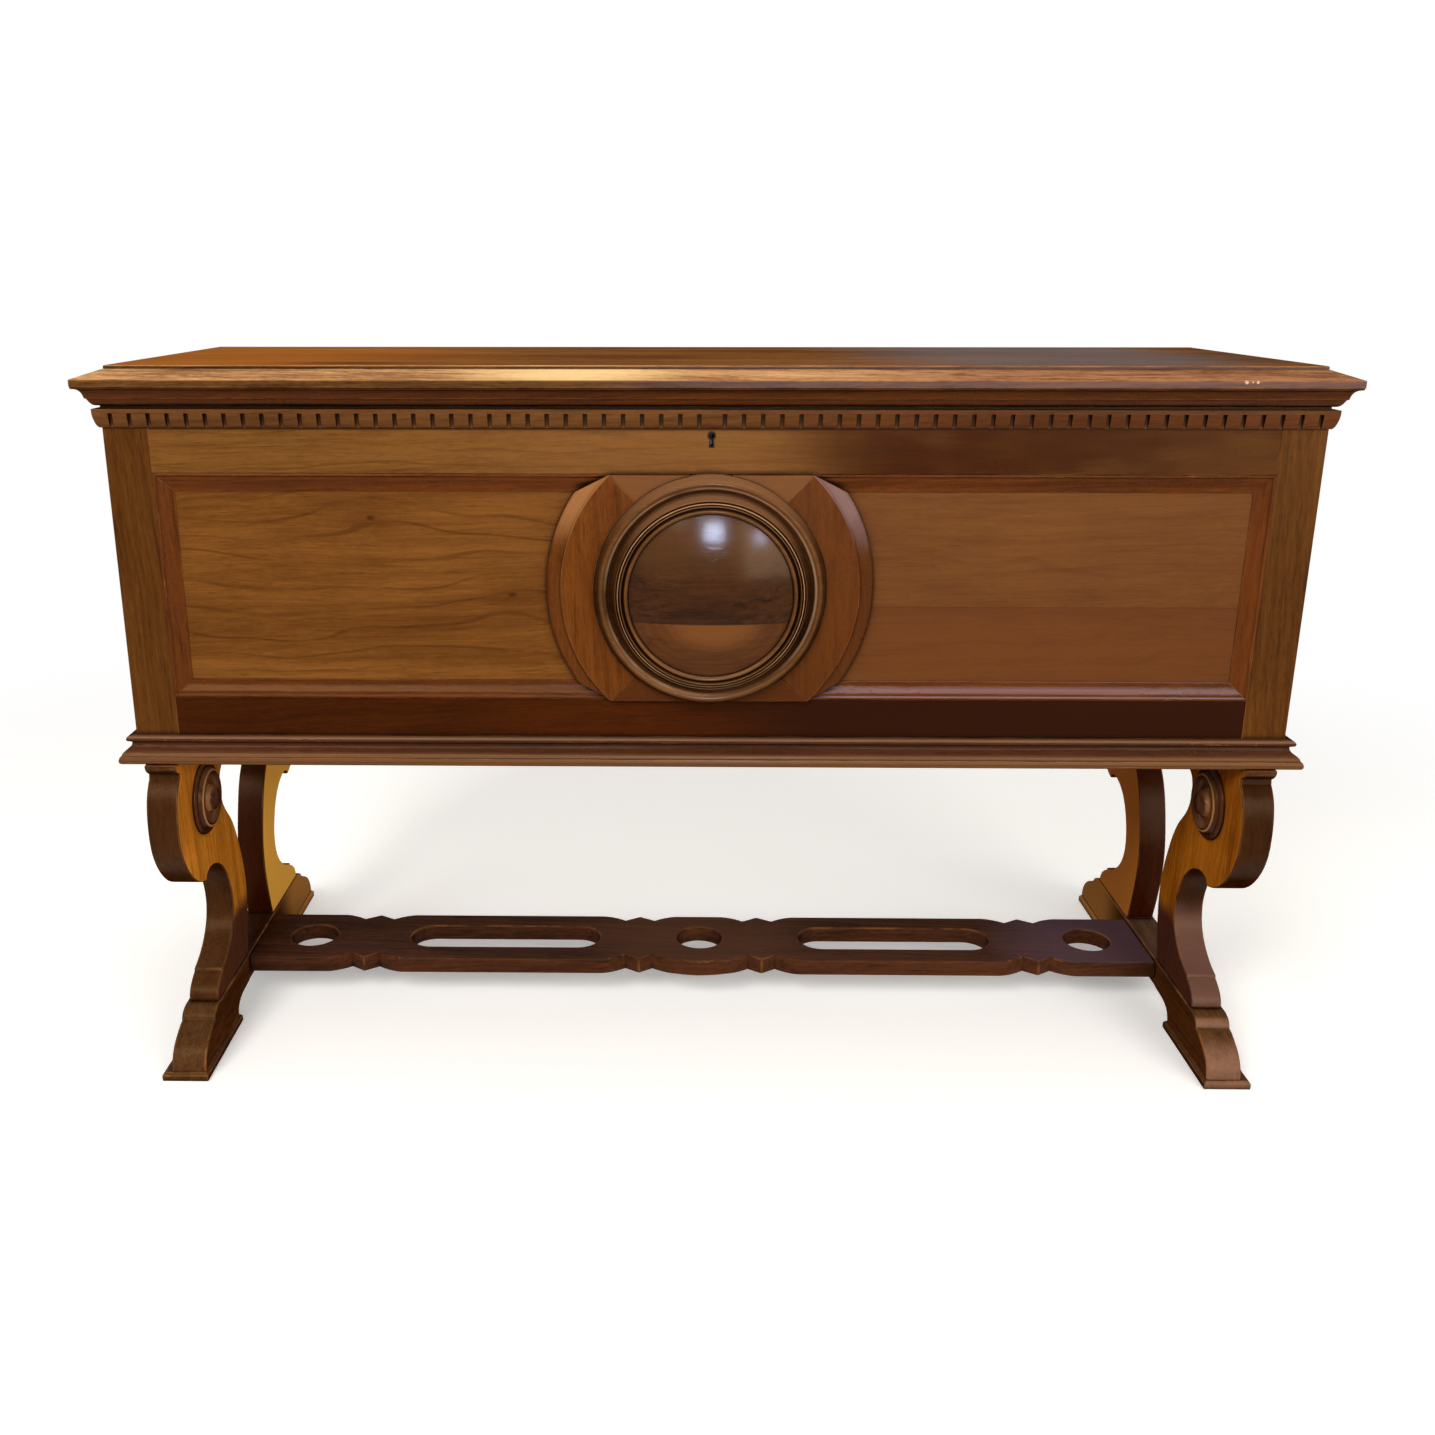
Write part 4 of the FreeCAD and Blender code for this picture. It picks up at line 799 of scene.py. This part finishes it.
def from_node(name, node, finishes, body, width, sort=None):
    """A piece with the node's own form and rounded edges. sort tells which finish each solid of the node has."""
    steps = bpy.context.scene.cassone_sizes.round_steps
    whole = bmesh.new()
    whole.faces.layers.float.new("rubbed_and_lit")
    for index in range(len(finishes)):
        part = solid_of(node, (lambda p, i=index: sort(p) == i) if sort else None)
        eased(part, width, steps)
        for face in part.faces:
            face.material_index = index
        mesh = bpy.data.meshes.new("part")
        part.to_mesh(mesh)
        part.free()
        whole.from_mesh(mesh)
        bpy.data.meshes.remove(mesh)
    return mesh_piece(name, whole, finishes, body, [node])


def dress(nodes, finish):
    """Gives CAD nodes whose form is right a finish."""
    for node in nodes:
        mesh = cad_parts[node].data
        mesh.materials.clear()
        mesh.materials.append(finish)


def both(name):
    return [name + "_left", name + "_right"]


class Maker:
    """What the operators share."""
    bl_options = {"REGISTER", "UNDO"}

    @property
    def sizes(self):
        return bpy.context.scene.cassone_sizes


class CASSONE_OT_lid(Maker, bpy.types.Operator):
    """Makes the lid's board, its back rail and its battens"""
    bl_idname = "cassone.lid"
    bl_label = "Lid"

    def execute(self, context):
        from_node("lid", "lid_board", [wood("lid_wood")], "lid", self.sizes.lid_round)
        from_node("lid_back_rail", "lid_rail_back", [wood("plain_wood")], "lid",
                  self.sizes.board_round)
        from_node("lid_inner_battens", "lid_battens", [wood("plain_wood_across")], "lid",
                  self.sizes.board_round)
        return {"FINISHED"}


class CASSONE_OT_cornice(Maker, bpy.types.Operator):
    """Makes the cornice under the lid's edge"""
    bl_idname = "cassone.cornice"
    bl_label = "Cornice"

    def execute(self, context):
        width = self.sizes.moulding_round
        from_node("cornice_front", "lid_cornice_front", [wood("moulding_wood")], "lid", width)
        for node in both("lid_cornice"):
            from_node(node.replace("lid_", ""), node, [wood("moulding_wood_across")], "lid", width)
        return {"FINISHED"}


class CASSONE_OT_dentils(Maker, bpy.types.Operator):
    """Finishes the dentil band round the top of the case"""
    bl_idname = "cassone.dentils"
    bl_label = "Dentil band"

    def execute(self, context):
        dress(["dentil_band_front"], wood("dentil_wood"))
        dress(both("dentil_band"), wood("dentil_wood_across"))
        return {"FINISHED"}


class CASSONE_OT_front(Maker, bpy.types.Operator):
    """Makes the front's stiles, rails, panels and centre board"""
    bl_idname = "cassone.front"
    bl_label = "Front boards"

    def execute(self, context):
        width = self.sizes.board_round
        for node in both("front_stile"):
            from_node(node.replace("front_", ""), node, [wood("stile_wood")], "root", width)
        for rail in ("top", "bottom"):
            from_node(rail + "_rail", "front_rail_" + rail, [wood(rail + "_rail_wood")], "root", width)
        for side in ("left", "right"):
            from_node("panel_" + side, "front_panel_" + side, [wood("panel_wood_" + side)], "root",
                      width)
        dress(["centre_board"], wood("bottom_rail_wood"))
        return {"FINISHED"}


def opening_test(node, letters):
    """Sorts a point of mitred strips by the side of the opening that it is nearest to: 0 for level, 1 for upright."""
    low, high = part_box(node)
    a = "xyz".index(letters[0])
    ends = {"panel_moulding_left": (low[a],), "panel_moulding_right": (high[a],)}.get(node, (low[a], high[a]))

    def sort(point):
        level = min(abs(point.z - low.z), abs(point.z - high.z))
        upright = min(abs(point[a] - end) for end in ends)
        return 0 if level < upright else 1
    return sort


class CASSONE_OT_panel_mouldings(Maker, bpy.types.Operator):
    """Makes the mitred mouldings round the panels of the front and the sides"""
    bl_idname = "cassone.panel_mouldings"
    bl_label = "Panel mouldings"

    def execute(self, context):
        width = self.sizes.moulding_round
        for node in both("panel_moulding"):
            from_node(node.replace("panel_", "front_"), node, [wood("moulding_wood"), wood("moulding_wood_upright")],
                      "root", width, opening_test(node, "x"))
        for node in both("side_moulding"):
            from_node(node.replace("side_moulding", "moulding_side"), node,
                      [wood("moulding_wood_across"), wood("moulding_wood_upright")],
                      "root", width, opening_test(node, "y"))
        return {"FINISHED"}


class CASSONE_OT_ornament(Maker, bpy.types.Operator):
    """Makes the crescent wings, the corner blocks, the turned ring and the boss"""
    bl_idname = "cassone.ornament"
    bl_label = "Centre ornament"

    def execute(self, context):
        width = self.sizes.board_round
        for side in ("left", "right"):
            from_node("crescent_" + side, "wing_" + side, [wood("wing_wood")], "root", width)
        from_node("blocks", "corner_blocks", [wood("block_wood")], "root", width)
        dress(["ring_moulding"], wood("ring_wood"))
        self.boss()
        return {"FINISHED"}

    def boss(self):
        """A low domed disc with a closed middle, made ring by ring."""
        low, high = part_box("centre_boss")
        centre = (low + high) / 2
        radius = (high.x - low.x) / 2
        dome = self.sizes.boss_dome
        bow = (radius ** 2 + dome ** 2) / (2 * dome)
        outline = [(radius, high.y)]
        for step in range(DOME_STEPS):
            out = radius * (1 - step / DOME_STEPS)
            outline.append((out, low.y + bow - math.sqrt(bow ** 2 - out ** 2)))
        shape = bmesh.new()
        shape.faces.layers.float.new("rubbed_and_lit")
        turns = [math.tau * step / TURN_STEPS for step in range(TURN_STEPS)]
        rings = [[shape.verts.new((centre.x + out * math.cos(turn), y, centre.z + out * math.sin(turn)))
                  for turn in turns] for out, y in outline]
        back, front = (shape.verts.new((centre.x, y, centre.z)) for y in (high.y, low.y))
        for step in range(TURN_STEPS):
            shape.faces.new((back, rings[0][step], rings[0][step - 1]))
            for wide, slim in zip(rings, rings[1:]):
                shape.faces.new((wide[step - 1], wide[step], slim[step], slim[step - 1]))
            shape.faces.new((rings[-1][step - 1], rings[-1][step], front))
        mesh_piece("boss", shape, [boss_wood()], "root", ["centre_boss"])


class CASSONE_OT_base(Maker, bpy.types.Operator):
    """Makes the base moulding"""
    bl_idname = "cassone.base"
    bl_label = "Base moulding"

    def execute(self, context):
        width = self.sizes.moulding_round
        from_node("base_front", "base_moulding_front", [wood("base_wood")], "root", width)
        for node in both("base_moulding"):
            from_node(node.replace("_moulding", ""), node, [wood("base_wood_across")], "root",
                      width)
        dress(["base_moulding_back"], wood("plain_wood"))
        return {"FINISHED"}


class CASSONE_OT_case(Maker, bpy.types.Operator):
    """Makes the sides, the back and the bottom of the case"""
    bl_idname = "cassone.case"
    bl_label = "Sides, back and bottom"

    def execute(self, context):
        width = self.sizes.board_round
        for side in ("left", "right"):
            node = "side_frame_" + side
            low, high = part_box("side_moulding_" + side)
            from_node("side_boards_" + side, node, [wood("side_rail_wood"), wood("stile_wood")], "root",
                      width, lambda point, a=low.y, b=high.y: 0 if a < point.y < b else 1)
            from_node("side_field_" + side, "side_panel_" + side, [wood("side_wood")], "root", width)
        dress(["back_frame", "back_panels", "bottom_board", "bottom_cleats"], wood("plain_wood"))
        return {"FINISHED"}


class CASSONE_OT_stand(Maker, bpy.types.Operator):
    """Makes the legs, feet, pads, bearers and the stretcher"""
    bl_idname = "cassone.stand"
    bl_label = "Stand"

    def execute(self, context):
        width = self.sizes.stand_round
        for node in both("leg_front") + both("leg_back"):
            from_node("scroll_" + node, node, [wood("leg_wood")], "root", width)
        for node in both("foot"):
            from_node("beam_" + node, node, [wood("foot_wood")], "root", width)
        from_node("pads", "foot_pads", [wood("foot_wood")], "root", width * 0.5)
        from_node("pierced_stretcher", "stretcher", [wood("stretcher_wood")], "root", width)
        dress(both("trestle_bearer"), wood("foot_wood"))
        dress(both("rosettes_front") + both("rosettes_back"), wood("rosette_wood"))
        return {"FINISHED"}


class CASSONE_OT_hardware(Maker, bpy.types.Operator):
    """Finishes the hinges, the lock, the strike and the keyhole rim"""
    bl_idname = "cassone.hardware"
    bl_label = "Hinges and lock"

    def execute(self, context):
        colours = context.scene.cassone_colours
        dress(["hinge_case_leaves", "hinge_lid_leaves"], metal("aged_brass", colours.brass, 0.42))
        dress(["keyhole_escutcheon"], metal("blackened_brass", tone(40, 30, 19), 0.38))
        dress(["hinge_pins", "hinge_case_screws", "hinge_lid_screws", "lock_case", "lock_bolt", "lid_strike"],
              metal("dull_steel", colours.steel, 0.45))
        return {"FINISHED"}


# Stage

def aimed_lamp(name, place, target, width, depth, power, tint, only_gloss):
    """An area lamp. only_gloss makes it one that is seen as a highlight but lights nothing."""
    data = bpy.data.lights.new(name, "AREA")
    data.shape = "RECTANGLE"
    data.size = width
    data.size_y = depth
    data.energy = power * bpy.context.scene.cassone_sizes.lamp_level
    data.color = tint
    lamp = bpy.data.objects.new(name, data)
    lamp.location = place
    lamp.rotation_euler = (Vector(target) - Vector(place)).to_track_quat("-Z", "Y").to_euler()
    lamp.visible_diffuse = not only_gloss
    bpy.context.scene.collection.objects.link(lamp)


class CASSONE_OT_stage(Maker, bpy.types.Operator):
    """Makes the floor, the light and the camera"""
    bl_idname = "cassone.stage"
    bl_label = "Stage"

    def execute(self, context):
        scene = context.scene
        scene.view_settings.view_transform = "Standard"
        self.floor(context)
        self.surroundings(scene)
        for lamp in LAMPS:
            aimed_lamp(*lamp)
        self.camera(scene)
        return {"FINISHED"}

    def floor(self, context):
        shape = bmesh.new()
        bmesh.ops.create_grid(shape, x_segments=1, y_segments=1, size=self.sizes.floor_reach)
        mesh = bpy.data.meshes.new("floor")
        shape.to_mesh(mesh)
        shape.free()
        floor = bpy.data.objects.new("floor", mesh)
        context.scene.collection.objects.link(floor)
        mesh.materials.append(material("pale_floor", self.floor_finish))

    def floor_finish(self, p):
        """Pale round the chest, and as white as the background where the camera sees it far off."""
        base = (*bpy.context.scene.cassone_colours.floor, 1.0)
        painted = p.blend(p.times(p.noise(p.where, 60.0, 3.0, 0.6), 0.03), base, tone(226, 224, 220))
        seen = p.seen()
        p.feed(p.shader, Base_Color=p.blend(seen, tone(164, 156, 146), painted), Roughness=0.7,
               Specular_IOR_Level=0.05, Emission_Color=WHITE, Emission_Strength=p.times(seen, 0.27))
        far = p.between(p.vectors("LENGTH", p.where, output="Value"), 1.0, 2.6)
        glow = p.feed(p.add("Emission"), Color=WHITE, Strength=1.0)
        surface = p.mixed(p.times(far, seen), p.shader.outputs[0], glow.outputs[0])
        p.put(p.tree.nodes["Material Output"].inputs["Surface"], surface)

    def surroundings(self, scene):
        """A soft warm light all round, which the camera sees as white."""
        world = bpy.data.worlds.new("studio")
        world.use_nodes = True
        world.node_tree.nodes.clear()
        n = Nodes(world.node_tree)
        soft = n.feed(n.add("Background"), Color=(1.0, 0.97, 0.93, 1.0), Strength=0.30)
        white = n.feed(n.add("Background"), Color=WHITE, Strength=1.0)
        n.put(n.add("OutputWorld").inputs["Surface"], n.mixed(n.seen(), soft.outputs[0], white.outputs[0]))
        scene.world = world

    def camera(self, scene):
        data = bpy.data.cameras.new("camera")
        data.sensor_fit = "HORIZONTAL"
        data.sensor_width = CAMERA_SENSOR
        data.lens = CAMERA_LENS
        data.shift_x, data.shift_y = CAMERA_SHIFT
        data.clip_end = CAMERA_REACH
        camera = bpy.data.objects.new("camera", data)
        camera.location = CAMERA_PLACE
        camera.rotation_euler = [math.radians(turn) for turn in CAMERA_TURN]
        scene.collection.objects.link(camera)
        scene.camera = camera


class CASSONE_PT_sidebar(bpy.types.Panel):
    """Lists the chest's pieces, sizes and colours"""
    bl_label = "Cassone"
    bl_idname = "CASSONE_PT_sidebar"
    bl_space_type = "VIEW_3D"
    bl_region_type = "UI"
    bl_category = "Cassone"

    def draw(self, context):
        for operator in OPERATORS:
            self.layout.operator(operator.bl_idname)
        for group in (context.scene.cassone_sizes, context.scene.cassone_colours):
            for name in group.__annotations__:
                self.layout.prop(group, name)


OPERATORS = (
    CASSONE_OT_lid, CASSONE_OT_cornice, CASSONE_OT_dentils, CASSONE_OT_front, CASSONE_OT_panel_mouldings,
    CASSONE_OT_ornament, CASSONE_OT_base, CASSONE_OT_case, CASSONE_OT_stand, CASSONE_OT_hardware, CASSONE_OT_stage,
)
CLASSES = (CassoneSizes, CassoneColours, CASSONE_PT_sidebar) + OPERATORS


def register():
    for item in CLASSES:
        bpy.utils.register_class(item)
    bpy.types.Scene.cassone_sizes = PointerProperty(type=CassoneSizes)
    bpy.types.Scene.cassone_colours = PointerProperty(type=CassoneColours)


def unregister():
    del bpy.types.Scene.cassone_colours
    del bpy.types.Scene.cassone_sizes
    for item in reversed(CLASSES):
        bpy.utils.unregister_class(item)


def main():
    register()
    make_grain()
    make_wear_and_highlight()
    make_polish()
    for operator in OPERATORS:
        family, name = operator.bl_idname.split(".")
        getattr(getattr(bpy.ops, family), name)()


if __name__ == "__main__":
    main()
